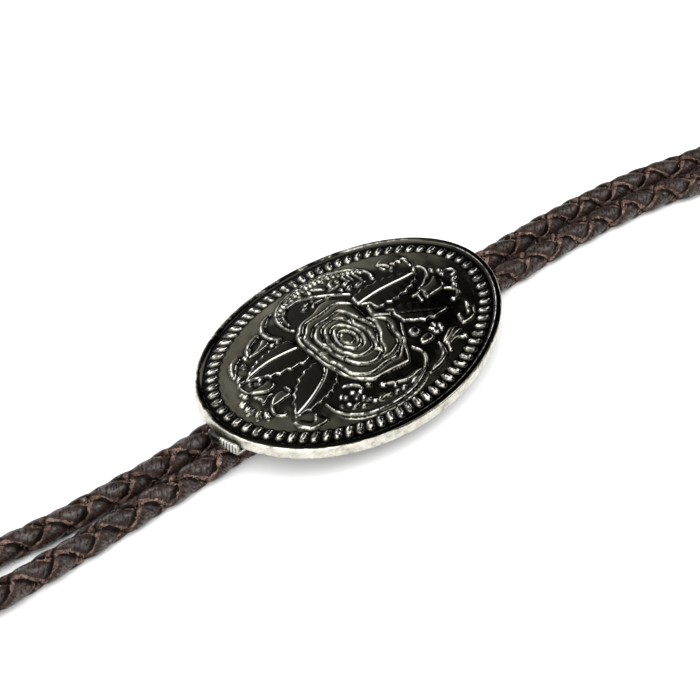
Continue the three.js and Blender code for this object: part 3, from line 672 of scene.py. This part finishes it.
def lace_section():
    """Points round one strip: across (mm), up (mm), raw edge amount."""
    pts = []
    for w in np.linspace(-1, 1, 7):
        pts.append((w * LACE_TOP, LACE_T / 2 + 0.02 - 0.22 * abs(w) ** 2.3, 0.0 if abs(w) < 0.95 else 0.42))
    side = [(0.10, 0.26), (0.42, 0.12), (1.0, -0.46)]
    pts += [(LACE_TOP + f * (LACE_BASE - LACE_TOP), z, 1.0) for f, z in side]
    pts += [(0.0, -LACE_T / 2, 0.9)]
    pts += [(-LACE_TOP - f * (LACE_BASE - LACE_TOP), z, 1.0) for f, z in side[::-1]]
    return np.array(pts)


def cord_rows():
    """Places along the cord, close together where it lies open beside the slide."""
    L = CORD_LEN
    spans = [(0, 53, 0.25), (53, 106, 0.62), (106, 158, 0.25), (158, L - 158, 0.62), (L - 158, L - 106, 0.25),
             (L - 106, L - 53, 0.62), (L - 53, L, 0.25)]
    rows = [np.linspace(a, b, int(round((b - a) / step)), endpoint=False) for a, b, step in spans]
    return np.concatenate(rows + [[L]])


def make_cord():
    """The braid, and the loose fibres along the strips' raw edges."""
    sec = lace_section()
    m = len(sec)
    s = cord_rows()
    n = len(s)
    V, F, edge, tone, along, across, deep = [], [], [], [], [], [], []
    base = 0
    g = np.linspace(0, CORD_LEN, 6000)
    pts = route_at(g)
    tan = np.gradient(pts, axis=0)
    tan /= np.linalg.norm(tan, axis=1)[:, None]
    side_all = np.cross(np.array([0, 0, 1.0]), tan)
    side_all /= np.linalg.norm(side_all, axis=1)[:, None]
    up_all = np.cross(tan, side_all)
    table = np.array(SETTLE)

    def settle(sv, col):
        f = sv / CORD_LEN
        k = np.clip(np.searchsorted(table[:, 0], f, side="right") - 1, 0, len(table) - 2)
        t = smooth((f - table[k, 0]) / (table[k + 1, 0] - table[k, 0]))
        return table[k, col] + (table[k + 1, col] - table[k, col]) * t

    def place(sv, th, r):
        sv = np.clip(sv, 0, CORD_LEN)
        c = np.column_stack([np.interp(sv, g, pts[:, k]) for k in range(3)])
        u = np.column_stack([np.interp(sv, g, up_all[:, k]) for k in range(3)])
        q = np.column_stack([np.interp(sv, g, side_all[:, k]) for k in range(3)])
        a = th + np.radians(settle(sv, 1))
        return c + r[:, None] * (np.cos(a)[:, None] * u + np.sin(a)[:, None] * q)

    def wave(x):
        return np.tanh(2.5 * np.cos(x)) / math.tanh(2.5)

    def ragged(seed):
        return 0.13 * noise1(s / 1.1, seed) + 0.12 * noise1(s / 0.5, seed + 7)

    grids = []
    for k, (turn, phase) in enumerate(((1, 0.0), (1, math.pi), (-1, 0.0), (-1, math.pi))):
        rows, low = [], []
        wide = 1 + 0.06 * noise1(s / 6.0, k + 1)
        braid = (s - settle(s, 2)) * 2 * math.pi / PITCH
        for j in range(m):
            w, t, e = sec[j]
            rag = (1.0 if e > 0.9 else 0.6 if e > 0.3 else 0.0) * ragged(10 * k + (j if e > 0.9 else np.sign(w) * 5))
            off = w * wide + np.sign(w) * rag
            ax = -turn * off * math.sin(HELIX)                       # along the cord
            rnd = off * math.cos(HELIX) / R_WRAP                     # round it
            th = turn * braid + phase + rnd
            cross = th + turn * (braid + ax * 2 * math.pi / PITCH)   # place along the strip, by its crossings
            over = turn * wave(cross - phase)                        # 1 on the outside, -1 underneath
            # painted shade: how dark the strip is painted where it dips under, and on the lower half of its raw sides
            low.append(np.clip((0.50 - over) / 0.9, 0, 1) + (0.6 if e > 0.9 and t < 0.0 else 0.0))
            r = R_MID + R_WAVE * over + t + 0.4 * rag
            if e < 0.5:
                r = r + 0.025 * noise1(s / 1.6, 40 * k + j)
            rows.append(place(s + ax, th, np.maximum(r, 0.12)))
        grid = np.stack(rows, 1)                      # n x m x 3
        grids.append(grid)
        V.append(grid.reshape(-1, 3))
        edge.append(np.tile(sec[:, 2], n))
        tone.append(np.repeat(0.5 + 0.5 * noise1(s / 9.0, k + 50), m))
        along.append(np.repeat(s / math.cos(HELIX) + 900.0 * k, m))
        across.append(np.tile(sec[:, 0], n))
        deep.append(np.clip(np.stack(low, 1), 0, 1).ravel())
        i = np.arange(n - 1)[:, None] * m
        j = np.arange(m)[None, :]
        j2 = (j + 1) % m
        quad = np.stack([i + j, i + j2, i + m + j2, i + m + j], -1).reshape(-1, 4) + base
        F += quad.tolist()
        F.append([base + x for x in range(m - 1, -1, -1)])
        F.append([base + (n - 1) * m + x for x in range(m)])
        base += n * m
    # a plain core closes the small gaps between the strips
    cs = np.linspace(0, CORD_LEN, 420)
    for i, a in enumerate(np.arange(8) * math.pi / 4):
        V.append(place(cs, np.full(len(cs), a), np.full(len(cs), 1.15)))
    for i in range(8):
        i2 = (i + 1) % 8
        for q in range(len(cs) - 1):
            F.append((base + i * len(cs) + q, base + i * len(cs) + q + 1, base + i2 * len(cs) + q + 1, base + i2 * len(cs) + q))
    F.append([base + i * len(cs) for i in range(8)])
    F.append([base + i * len(cs) + len(cs) - 1 for i in range(7, -1, -1)])
    for values in (edge, tone, along, across):
        values.append(np.zeros(8 * len(cs)))
    # the core gets the full painted shade
    deep.append(np.ones(8 * len(cs)))
    verts = np.vstack(V)
    verts[:, 0] += SHIFT
    verts[:, 2] = np.maximum(verts[:, 2], 0.0)
    ob = new_mesh("braided_cord", verts, F)
    for name, values in (("raw_edge", edge), ("tone", tone), ("along", along), ("across", across), ("deep", deep)):
        attribute(ob, name, np.concatenate(values))
    fix_normals(ob)
    return ob, make_fibres(grids, s, place)


FIBRES = 4200                # loose fibres on each raw edge of each strip


def make_fibres(grids, s, place):
    """Short loose fibres that lie along the raw edges, as narrow three-cornered blades."""
    V, F = [], []
    centre = place(s, np.zeros(len(s)), np.zeros(len(s)))
    seed = 0
    for grid in grids:
        mid = 3                                       # middle of the grain side
        for rim, foot in ((6, 9), (0, 11)):           # edge of the grain side, foot of the raw side
            k = np.arange(FIBRES) + seed
            seed += 9000
            i = np.searchsorted(s, hash01(k * 1.37 + 0.5) * (CORD_LEN - 24) + 12)
            f = hash01(k * 2.11 + 9.0) ** 1.5
            root = grid[i, rim] * (1 - f)[:, None] + grid[i, foot] * f[:, None]
            run = grid[i + 2, rim] - grid[i - 2, rim]
            out = root - grid[i, mid]
            away = root - centre[i]
            unit = [v / np.maximum(np.linalg.norm(v, axis=1), 1e-6)[:, None] for v in (run, out, away)]
            lean = (hash01(k * 3.3 + 1.0) * 2 - 1)[:, None]
            d = unit[0] * lean * 1.3 + unit[1] * (0.2 + 0.6 * hash01(k * 4.7 + 2.0))[:, None] + unit[2] * (0.1 + 0.5 * hash01(k * 5.9))[:, None]
            d /= np.linalg.norm(d, axis=1)[:, None]
            length = (0.24 + 0.62 * hash01(k * 6.1 + 3.0) ** 2)[:, None]
            flat = np.cross(d, unit[2])
            flat /= np.maximum(np.linalg.norm(flat, axis=1), 1e-6)[:, None]
            half = (0.035 + 0.045 * hash01(k * 7.7 + 4.0))[:, None]
            tip = root + d * length - unit[2] * length * 0.25
            start = sum(len(v) for v in V)
            V.append(np.stack([root - flat * half - 0.05 * unit[2], root + flat * half - 0.05 * unit[2],
                               root + d * length * 0.55 + flat * half * 0.7, root + d * length * 0.55 - flat * half * 0.7, tip], 1).reshape(-1, 3))
            q = start + np.arange(FIBRES) * 5
            F += np.column_stack([q, q + 1, q + 2, q + 3]).tolist()
            F += np.column_stack([q + 3, q + 2, q + 4]).tolist()
    verts = np.vstack(V)
    verts[:, 0] += SHIFT
    verts[:, 2] = np.maximum(verts[:, 2], 0.02)
    ob = new_mesh("cord_fibres", verts, F)
    n = len(verts)
    attribute(ob, "raw_edge", np.full(n, 1.6))
    attribute(ob, "tone", np.full(n, 0.5))
    attribute(ob, "along", np.repeat(np.arange(n // 5) * 0.37, 5))
    attribute(ob, "across", np.zeros(n))
    attribute(ob, "deep", np.zeros(n))
    return ob


# ------------------------------------------------------------------ clip and tips
def make_clip():
    """Pressed sheet round both strands, with a tongue and a ridged lip at the plate's end."""
    c, ri, ro, s = CLIP_SPACING / 2, CLIP_BORE_R, CLIP_BORE_R + SHEET, CLIP_SLOT / 2
    mid = (ri + ro) / 2
    path = [(s, SHEET / 2, 0, 1)]
    path.append((c, SHEET / 2, 0, 1))
    for a in np.linspace(-90, 90, 25)[1:]:
        r = math.radians(a)
        path.append((c + mid * math.cos(r), ro + mid * math.sin(r), -math.cos(r), -math.sin(r)))
    for a in np.linspace(90, 270, 25):
        r = math.radians(a)
        path.append((-c + mid * math.cos(r), ro + mid * math.sin(r), -math.cos(r), -math.sin(r)))
    path.append((-s, SHEET / 2, 0, 1))
    path = np.array(path)
    # profile of the sheet cut at one x: rounded long edges
    m = len(path)
    xs, ts = [], []
    L = CLIP_LENGTH / 2
    for a in np.linspace(-90, 90, 7):
        r = math.radians(a)
        xs.append(L - 0.25 + 0.25 * math.cos(r))
        ts.append(0.25 * math.sin(r))
    for a in np.linspace(90, 270, 7):
        r = math.radians(a)
        xs.append(-L + 0.25 + 0.25 * math.cos(r))
        ts.append(0.25 * math.sin(r))
    q = len(xs)
    V, F = [], []
    for (y, z, ny, nz) in path:
        for x, t in zip(xs, ts):
            V.append((x, y + ny * t, z + nz * t))
    for i in range(m - 1):
        for j in range(q):
            j2 = (j + 1) % q
            F.append((i * q + j, i * q + j2, (i + 1) * q + j2, (i + 1) * q + j))
    F.append(tuple(range(q))[::-1])
    F.append(tuple((m - 1) * q + j for j in range(q)))
    # tongue: a swept strip that runs out under the plate and turns up as a lip
    h = 2 * ro
    y0, y1 = TONGUE_Y
    cols = 60

    def rim_x(y, off):
        return -(A + off) * math.sqrt(1 - (y / (B + off)) ** 2)
    base = len(V)
    strip = []
    for j in range(cols + 1):
        f = j / cols
        y = y0 + (y1 - y0) * f
        corner = 0.35 * (max(0, 0.10 - f) / 0.10) ** 2 + 0.35 * (max(0, f - 0.90) / 0.10) ** 2
        xo, xi = rim_x(y, LIP_GAP + LIP_THICK), rim_x(y, LIP_GAP)
        ridged = f < 0.53
        # fine upright ridges on the thumb side, a plain rounded knuckle beside it
        bump = 0.0
        if ridged:
            bump = -0.16 * (1 - math.cos(f / 0.53 * 6 * 2 * math.pi)) / 2
        else:
            g = (f - 0.53) / 0.47
            bump = -0.42 * (1 - math.sqrt(max(0.0, 1 - (2 * g - 1) ** 2)))
        top = LIP_TOP - corner - (0.0 if ridged else 0.15)
        sec = [(-12.0, h - 0.02), (-20.0, h - 0.02), (xi + 0.5, h - 0.02), (xi + 0.18, h + 0.04), (xi, h + 0.25), (xi, top - 0.2),
               (xi - 0.07, top - 0.06), (xi - 0.2, top), (xo + 0.25 - bump, top), (xo + 0.08 - bump, top - 0.08),
               (xo - bump, top - 0.25), (xo - bump, h + 0.6), (xo - bump, h - 0.1), (xo + 0.1 - bump, h - 0.34),
               (xo + 0.4, h - SHEET), (-20.0, h - SHEET), (-12.0, h - SHEET)]
        strip.append([(x, y, z) for x, z in sec])
    k = len(strip[0])
    for row in strip:
        V += row
    for j in range(cols):
        for i in range(k):
            i2 = (i + 1) % k
            F.append((base + j * k + i, base + j * k + i2, base + (j + 1) * k + i2, base + (j + 1) * k + i))
    F.append(tuple(base + i for i in range(k))[::-1])
    F.append(tuple(base + cols * k + i for i in range(k)))
    verts = np.array(V)
    # the knuckle beside the ridges is coloured near black
    black = smooth((verts[:, 1] + 1.95) / 0.3) * (verts[:, 2] > h + 0.05) * (verts[:, 0] < -26.0)
    verts[:, 0] += SHIFT
    ob = new_mesh("cord_clip_sheet", verts, F)
    attribute(ob, "black", black)
    fix_normals(ob)
    return ob


def fix_normals(ob):
    import bmesh
    bm = bmesh.new()
    bm.from_mesh(ob.data)
    bmesh.ops.recalc_face_normals(bm, faces=bm.faces)
    bm.to_mesh(ob.data)
    bm.free()


def make_tip(name, place):
    prof = [(0.0, TIP_BORE_DEPTH), (TIP_BORE_R - 0.3, TIP_BORE_DEPTH), (TIP_BORE_R, TIP_BORE_DEPTH - 0.3), (TIP_BORE_R, 3.0),
            (TIP_BORE_R, 0.15), (TIP_BORE_R + 0.1, 0.03), (TIP_R - 0.2, 0.0), (TIP_R - 0.06, 0.06), (TIP_R, 0.2), (TIP_R, 0.9)]
    for a in np.linspace(0, 180, 7):                   # rolled collar
        r = math.radians(a)
        prof.append((TIP_R - 0.12 + 0.12 * math.sin(r), 1.3 - 0.35 * math.cos(r)))
    prof += [(2.68, 1.75), (2.58, 1.95), (2.58, 2.15), (2.68, 2.3)]
    for a in np.linspace(0, 180, 7):
        r = math.radians(a)
        prof.append((TIP_R - 0.18 + 0.12 * math.sin(r), 2.65 - 0.3 * math.cos(r)))
    prof += [(2.66, 3.05), (2.6, 3.2), (2.62, 3.5), (2.72, 3.8)]
    for t in np.linspace(0, 1, 14)[1:]:
        prof.append((2.72 + (TIP_END_R - 0.08 - 2.72) * (t ** 0.9), 3.8 + t * 21.8))
    prof += [(1.72, 25.9), (1.66, 26.1), (1.72, 26.3)]
    for a in np.linspace(-50, 88, 14):                 # small ball end
        r = math.radians(a)
        prof.append((TIP_END_R * math.cos(r) * 0.98, TIP_LENGTH - 1.9 + 1.9 * math.sin(r)))
    prof.append((0.0, TIP_LENGTH))
    prof = np.array(prof)
    mouth, d = place
    e1 = np.cross(d, [0, 0, 1.0])
    e1 /= np.linalg.norm(e1)
    e2 = np.cross(e1, d)
    n = 72
    V, F = [], []
    idx = []
    for r, y in prof:
        if r == 0.0:
            idx.append([len(V)] * n)
            V.append(mouth + d * y)
        else:
            idx.append(list(range(len(V), len(V) + n)))
            for k in range(n):
                t = 2 * math.pi * k / n
                V.append(mouth + d * y + r * (math.cos(t) * e1 + math.sin(t) * e2))
    for a, b in zip(idx[:-1], idx[1:]):
        for k in range(n):
            k2 = (k + 1) % n
            f = [a[k], a[k2], b[k2], b[k]]
            f = list(dict.fromkeys(f))
            if len(f) > 2:
                F.append(f)
    verts = np.array(V)
    verts[:, 0] += SHIFT
    ob = new_mesh(name, verts, F)
    fix_normals(ob)
    return ob


# ------------------------------------------------------------------ materials
class Nodes:
    def __init__(self, name):
        self.mat = bpy.data.materials.new(name)
        self.mat.use_nodes = True
        self.t = self.mat.node_tree
        self.t.nodes.clear()
        self.out = self.t.nodes.new("ShaderNodeOutputMaterial")
        self.bsdf = self.t.nodes.new("ShaderNodeBsdfPrincipled")
        self.link(self.bsdf.outputs[0], self.out.inputs[0])
        self.coord = self.t.nodes.new("ShaderNodeTexCoord").outputs["Object"]

    def link(self, a, b):
        self.t.links.new(a, b)

    def put(self, socket, value):
        s = self.bsdf.inputs[socket]
        if hasattr(value, "is_output"):
            self.link(value, s)
        else:
            s.default_value = value

    def noise(self, scale, detail=3.0, rough=0.5, vector=None, stretch=None, distort=0.0):
        n = self.t.nodes.new("ShaderNodeTexNoise")
        n.inputs["Scale"].default_value = scale
        n.inputs["Detail"].default_value = detail
        n.inputs["Roughness"].default_value = rough
        n.inputs["Distortion"].default_value = distort
        v = vector or self.coord
        if stretch:
            m = self.t.nodes.new("ShaderNodeMapping")
            m.inputs["Scale"].default_value = stretch
            self.link(v, m.inputs[0])
            v = m.outputs[0]
        self.link(v, n.inputs["Vector"])
        return n.outputs["Fac"]

    def voronoi(self, scale, feature="F1", out="Distance"):
        n = self.t.nodes.new("ShaderNodeTexVoronoi")
        n.feature = feature
        n.inputs["Scale"].default_value = scale
        self.link(self.coord, n.inputs["Vector"])
        return n.outputs[out]

    def ramp(self, fac, stops):
        n = self.t.nodes.new("ShaderNodeValToRGB")
        el = n.color_ramp.elements
        while len(el) < len(stops):
            el.new(0.5)
        for e, (p, c) in zip(el, stops):
            e.position = p
            e.color = c if isinstance(c, tuple) and len(c) == 4 else ((c, c, c, 1) if not isinstance(c, tuple) else (*c, 1))
        self.link(fac, n.inputs[0])
        return n.outputs[0]

    def mix(self, fac, a, b, mode="MIX"):
        n = self.t.nodes.new("ShaderNodeMix")
        n.data_type = "RGBA"
        n.blend_type = mode
        for sock, val in ((n.inputs[0], fac), (n.inputs[6], a), (n.inputs[7], b)):
            if hasattr(val, "is_output"):
                self.link(val, sock)
            elif isinstance(val, tuple):
                sock.default_value = (*val, 1)
            else:
                sock.default_value = val
        return n.outputs[2]

    def math(self, op, a, b=0.0, clamp=False):
        n = self.t.nodes.new("ShaderNodeMath")
        n.operation = op
        n.use_clamp = clamp
        for sock, val in ((n.inputs[0], a), (n.inputs[1], b)):
            if hasattr(val, "is_output"):
                self.link(val, sock)
            else:
                sock.default_value = val
        return n.outputs[0]

    def attr(self, name):
        n = self.t.nodes.new("ShaderNodeAttribute")
        n.attribute_name = name
        return n.outputs["Fac"]

    def bump(self, height, strength, dist, normal=None):
        n = self.t.nodes.new("ShaderNodeBump")
        n.inputs["Strength"].default_value = strength
        n.inputs["Distance"].default_value = dist
        self.link(height, n.inputs["Height"])
        if normal:
            self.link(normal, n.inputs["Normal"])
        return n.outputs[0]


def plate_material():
    m = Nodes("black_nickel_casting")
    wear_and_highlight, cav, crease = m.attr("wear_and_highlight"), m.attr("cavity"), m.attr("crease")
    blotch = m.noise(260, 4, 0.55)
    fine = m.noise(1500, 3, 0.6)
    # an olive film over near black plating, strongest on the open field; the film value also carries painted shade and
    # the painted midrib highlights
    olive = m.ramp(blotch, [(0.3, (0.235, 0.218, 0.164)), (0.7, (0.325, 0.304, 0.236))])
    deep = m.ramp(cav, [(0.72, 0.0), (0.93, 1.0)])
    film_and_painted_light = m.mix(1.0, olive, m.attr("film_and_painted_light"), "MULTIPLY")
    # painted highlight: where the film value is above one, on the midribs' bevels, the colour turns to bright bare
    # metal
    film_and_painted_light = m.mix(m.math("MULTIPLY", m.math("SUBTRACT", m.attr("film_and_painted_light"), 1.0), 4.0), film_and_painted_light, (0.37, 0.37, 0.36))
    # black oxide in the creases, bare polish on the sharp edges
    film_and_painted_light = m.mix(m.ramp(crease, [(0.56, 0.0), (0.92, 1.0)]), film_and_painted_light, (0.012, 0.0115, 0.010))
    film_and_painted_light = m.mix(m.ramp(crease, [(0.14, 1.0), (0.44, 0.0)]), film_and_painted_light, (0.46, 0.45, 0.42))
    # the polish on the edges comes and goes
    film_and_painted_light = m.mix(m.math("MULTIPLY", m.ramp(crease, [(0.30, 1.0), (0.49, 0.0)]), m.ramp(m.noise(1000, 3, 0.6), [(0.42, 1.0), (0.56, 0.0)])),
                 film_and_painted_light, (0.030, 0.029, 0.026))
    # plating rubbed through round the edge to pale metal, in a ragged line; the wider pale band on the rim's far side
    # is a painted highlight
    patch = m.math("SUBTRACT", m.noise(300, 5, 0.65), 0.5)
    worn_and_highlit = m.ramp(m.math("ADD", wear_and_highlight, m.math("MULTIPLY", patch, 1.1)), [(0.55, 0.0), (0.72, 1.0)])
    silver = m.ramp(m.noise(800, 5, 0.65), [(0.30, (0.20, 0.188, 0.155)), (0.44, (0.44, 0.425, 0.37)), (0.72, (0.66, 0.645, 0.585))])
    m.put("Base Color", m.mix(worn_and_highlit, film_and_painted_light, silver))
    m.put("Metallic", 1.0)
    rough = m.mix(deep, m.ramp(m.noise(700, 4, 0.6), [(0.3, 0.08), (0.75, 0.15)]),
                  m.ramp(m.noise(700, 4, 0.6), [(0.3, 0.12), (0.75, 0.19)]))
    m.put("Roughness", m.mix(worn_and_highlit, rough, m.ramp(fine, [(0.3, 0.24), (0.7, 0.42)])))
    b = m.bump(blotch, 0.10, 0.00020)
    m.put("Normal", m.bump(fine, 0.10, 0.00003, b))
    return m.mat


def clip_material():
    m = Nodes("pressed_sheet")
    n = m.noise(500, 4, 0.6)
    pale = m.ramp(n, [(0.3, (0.30, 0.29, 0.265)), (0.7, (0.50, 0.49, 0.46))])
    m.put("Base Color", m.mix(m.attr("black"), pale, m.ramp(n, [(0.3, (0.03, 0.029, 0.026)), (0.7, (0.09, 0.087, 0.08))])))
    m.put("Metallic", 1.0)
    streak = m.noise(900, 3, 0.6, stretch=(0.06, 1.0, 1.0))
    m.put("Roughness", m.ramp(streak, [(0.3, 0.2), (0.7, 0.36)]))
    m.put("Normal", m.bump(streak, 0.2, 0.00004))
    return m.mat


def tip_material():
    m = Nodes("plated_tip")
    n = m.noise(350, 4, 0.6)
    m.put("Base Color", m.ramp(n, [(0.3, (0.25, 0.24, 0.215)), (0.7, (0.36, 0.35, 0.32))]))
    m.put("Metallic", 1.0)
    s = m.noise(1300, 3, 0.6)
    m.put("Roughness", m.ramp(s, [(0.3, 0.12), (0.75, 0.25)]))
    m.put("Normal", m.bump(s, 0.12, 0.00003))
    return m.mat


def leather_material():
    m = Nodes("braided_leather")
    raw, tone = m.attr("raw_edge"), m.attr("tone")

    def strip_noise(run, width, detail=3.0, rough=0.6):
        """Noise that follows the strip: so many waves a millimetre along it and across it."""
        v = m.t.nodes.new("ShaderNodeCombineXYZ")
        m.link(m.math("MULTIPLY", m.attr("along"), run), v.inputs[0])
        m.link(m.math("MULTIPLY", m.attr("across"), width), v.inputs[1])
        return m.noise(1.0, detail, rough, vector=v.outputs[0])

    creases = strip_noise(2.9, 0.9)                   # fine grain lines that cross the strip
    pebble = m.noise(2300, 4, 0.65)
    big = m.noise(420, 4, 0.6)
    dark = m.ramp(big, [(0.3, (0.0078, 0.0044, 0.0034)), (0.72, (0.0235, 0.0136, 0.0107))])
    dark = m.mix(m.math("MULTIPLY", tone, 0.45), dark, (0.030, 0.0177, 0.0140))
    dark = m.mix(m.ramp(creases, [(0.34, 0.7), (0.48, 0.0)]), dark, (0.0045, 0.0028, 0.0024))
    # raw cut edges: lighter, fibrous
    fibre = m.noise(2500, 5, 0.75, distort=1.5)
    clump = m.noise(1000, 3, 0.6)
    rawc = m.ramp(m.math("ADD", m.math("MULTIPLY", fibre, 0.62), m.math("MULTIPLY", clump, 0.38)),
                  [(0.40, (0.018, 0.0095, 0.0072)), (0.47, (0.098, 0.058, 0.046)), (0.54, (0.200, 0.131, 0.108)), (0.64, (0.40, 0.295, 0.255))])
    loose = m.ramp(m.math("MULTIPLY", raw, 0.5), [(0.60, 0.0), (0.78, 0.55)])
    rawc = m.mix(loose, rawc, (0.40, 0.295, 0.255))
    rawc = m.mix(m.ramp(m.noise(620, 4, 0.65), [(0.40, 0.80), (0.56, 0.0)]), rawc, (0.020, 0.0112, 0.0086))    # rubbed-in dark dye
    torn = m.math("ADD", m.math("MULTIPLY", m.math("SUBTRACT", m.noise(2100, 4, 0.7), 0.5), 1.5),
                  m.math("MULTIPLY", m.math("SUBTRACT", m.noise(750, 3, 0.6), 0.5), 1.1))
    mask = m.ramp(m.math("ADD", raw, torn), [(0.46, 0.0), (0.60, 1.0)])
    # painted shade: where a strip dips under its neighbours, on the lower raw sides and on the core, the colour is
    # darkened and the specular lowered
    painted_shade = m.ramp(m.attr("deep"), [(0.04, 0.0), (0.80, 0.95)])
    m.put("Base Color", m.mix(painted_shade, m.mix(mask, dark, rawc), (0.0036, 0.0022, 0.0018)))
    m.put("Roughness", m.mix(mask, m.ramp(pebble, [(0.3, 0.24), (0.7, 0.38)]), (0.92, 0.92, 0.92)))
    shine = m.ramp(m.math("ADD", m.math("MULTIPLY", creases, 0.6), m.math("MULTIPLY", pebble, 0.4)), [(0.41, 0.04), (0.62, 0.84)])
    middle = m.ramp(m.math("ABSOLUTE", m.attr("across")), [(0.45, 1.0), (1.0, 0.25)])
    shine = m.mix(mask, m.mix(1.0, shine, middle, "MULTIPLY"), (0.10, 0.10, 0.10))
    m.put("Specular IOR Level", m.mix(painted_shade, shine, (0.02, 0.02, 0.02)))
    b = m.bump(pebble, 0.5, 0.00012)
    b = m.bump(creases, 0.55, 0.00013, b)
    b2 = m.bump(fibre, 1.0, 0.00035, m.bump(clump, 0.6, 0.0004))
    mixn = m.t.nodes.new("ShaderNodeMix")
    mixn.data_type = "VECTOR"
    m.link(mask, mixn.inputs[0])
    m.link(b, mixn.inputs[4])
    m.link(b2, mixn.inputs[5])
    m.put("Normal", mixn.outputs[1])
    return m.mat


def floor_material():
    m = Nodes("pale_floor")
    n = m.noise(30, 3, 0.5)
    m.put("Base Color", m.ramp(n, [(0.3, (0.84, 0.84, 0.84)), (0.7, (0.86, 0.86, 0.86))]))
    m.put("Roughness", 0.85)
    m.put("Specular IOR Level", 0.2)
    return m.mat


# ------------------------------------------------------------------ build
plate_mat = plate_material()
for piece in make_plate():
    piece.data.materials.append(plate_mat)
    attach(piece, "root")
    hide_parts("slide_plate")

clip = make_clip()
clip.data.materials.append(clip_material())
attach(clip, "root")
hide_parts("cord_clip")

tip_mat = tip_material()
for name, node, place in (("tip_rear_turned", "tip_rear", TIP_A), ("tip_front_turned", "tip_front", TIP_B)):
    tip = make_tip(name, place)
    tip.data.materials.append(tip_mat)
    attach(tip, "root")
    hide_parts(node)

cord, fibres = make_cord()
leather = leather_material()
for piece in (cord, fibres):
    piece.data.materials.append(leather)
    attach(piece, "root")
    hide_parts("cord")
path_m = route_at(np.linspace(0, CORD_LEN, 160))
path_m[:, 0] += SHIFT
path_m = [tuple(float(v) * MM for v in p) for p in path_m]

# ------------------------------------------------------------------ floor, light, camera
bpy.ops.mesh.primitive_plane_add(size=6.0, location=(0, 0, 0))
floor = bpy.context.object
floor.name = "floor"
floor.data.materials.append(floor_material())


def area(name, loc, target, size, power, colour=(1, 1, 1), size_y=None):
    li = bpy.data.lights.new(name, "AREA")
    li.shape = "RECTANGLE"
    li.size = size
    li.size_y = size_y or size
    li.energy = power
    li.color = colour
    ob = bpy.data.objects.new(name, li)
    bpy.context.scene.collection.objects.link(ob)
    ob.location = loc
    ob.rotation_euler = (Vector(target) - Vector(loc)).to_track_quat("-Z", "Y").to_euler()
    return ob


area("top_box", (-0.27, -0.17, 0.75), (-0.27, -0.17, 0.0), 0.84, 7.0, (1.0, 1.0, 1.0), 0.74)
area("right_top_box", (0.575, -0.40, 0.75), (0.575, -0.40, 0.0), 0.85, 5.4, (1.0, 1.0, 1.0), 0.58)
area("left_top_box", (-0.48, 0.50, 0.75), (-0.48, 0.50, 0.0), 0.85, 1.6, (1.0, 1.0, 1.0), 0.44)
area("left_far_box", (0.05, 0.82, 0.40), (0, 0, 0), 0.34, 1.4, (1.0, 1.0, 1.0), 0.26)
area("right_far_box", (0.82, 0.10, 0.36), (0, 0, 0), 0.30, 0.9, (1.0, 1.0, 1.0), 0.26)

# The room: pale on the left and behind, dark on the far right, dim behind the camera.
world = bpy.data.worlds.new("studio")
bpy.context.scene.world = world
world.use_nodes = True
wt = world.node_tree
bg = wt.nodes["Background"]
wc = wt.nodes.new("ShaderNodeTexCoord")


def wall(direction, stops):
    """Brightness that changes along one direction of the room."""
    d = wt.nodes.new("ShaderNodeVectorMath")
    d.operation = "DOT_PRODUCT"
    wt.links.new(wc.outputs["Generated"], d.inputs[0])
    d.inputs[1].default_value = direction
    r = wt.nodes.new("ShaderNodeValToRGB")
    r.color_ramp.interpolation = "EASE"
    el = r.color_ramp.elements
    while len(el) < len(stops):
        el.new(0.5)
    for e, (q, v) in zip(el, stops):
        e.position = q
        e.color = (v, v, v, 1)
    m = wt.nodes.new("ShaderNodeMath")
    m.operation = "MULTIPLY_ADD"
    wt.links.new(d.outputs["Value"], m.inputs[0])
    m.inputs[1].default_value = 0.5
    m.inputs[2].default_value = 0.5
    wt.links.new(m.outputs[0], r.inputs[0])
    return r.outputs[0]


across = wall((1.0, -0.25, 0.0), [(0.50, 0.95), (0.60, 0.50), (0.628, 0.41), (0.6635, 0.32), (0.676, 0.27), (0.694, 0.25), (0.702, 0.10),
                                  (0.7125, 0.05), (0.7235, 0.015)])
depth = wall((0.0, 1.0, 0.0), [(0.15, 0.10), (0.45, 0.30), (0.60, 0.27), (0.64, 0.28), (0.70, 0.37), (0.76, 0.31), (0.79, 0.33), (0.81, 0.42),
                               (0.86, 0.50), (0.90, 0.75), (0.96, 1.0)])
front = wall((-0.68, -0.73, 0.0), [(0.70, 0.0), (0.82, 1.0)])      # low pale wall that fills the shadows
room = across
for mode, tone in (("MULTIPLY", depth), ("ADD", front)):
    both = wt.nodes.new("ShaderNodeMix")
    both.data_type = "RGBA"
    both.blend_type = mode
    both.inputs[0].default_value = 1.0
    wt.links.new(room, both.inputs[6])
    wt.links.new(tone, both.inputs[7])
    room = both.outputs[2]
wt.links.new(room, bg.inputs[0])
bg.inputs[1].default_value = 2.25

AZ, EL, DIST = math.radians(-43.044), math.radians(45.0), 0.285
back = Vector((math.sin(AZ) * math.cos(EL), -math.cos(AZ) * math.cos(EL), math.sin(EL)))
target = Vector((SHIFT * MM, 0.0, TOP * MM))
cam_data = bpy.data.cameras.new("camera")
cam_data.sensor_width = 36.0
cam_data.lens = 1807.3 / 700.0 * 36.0
cam_data.shift_x = -1.4 / 700
cam_data.shift_y = -16.0 / 700
cam_data.clip_start = 0.01
cam = bpy.data.objects.new("camera", cam_data)
bpy.context.scene.collection.objects.link(cam)
cam.location = target + back * DIST
cam.rotation_euler = (-back).to_track_quat("-Z", "Y").to_euler()
bpy.context.scene.camera = cam
bpy.context.scene.view_settings.view_transform = "Standard"
bpy.context.scene.view_settings.look = "None"
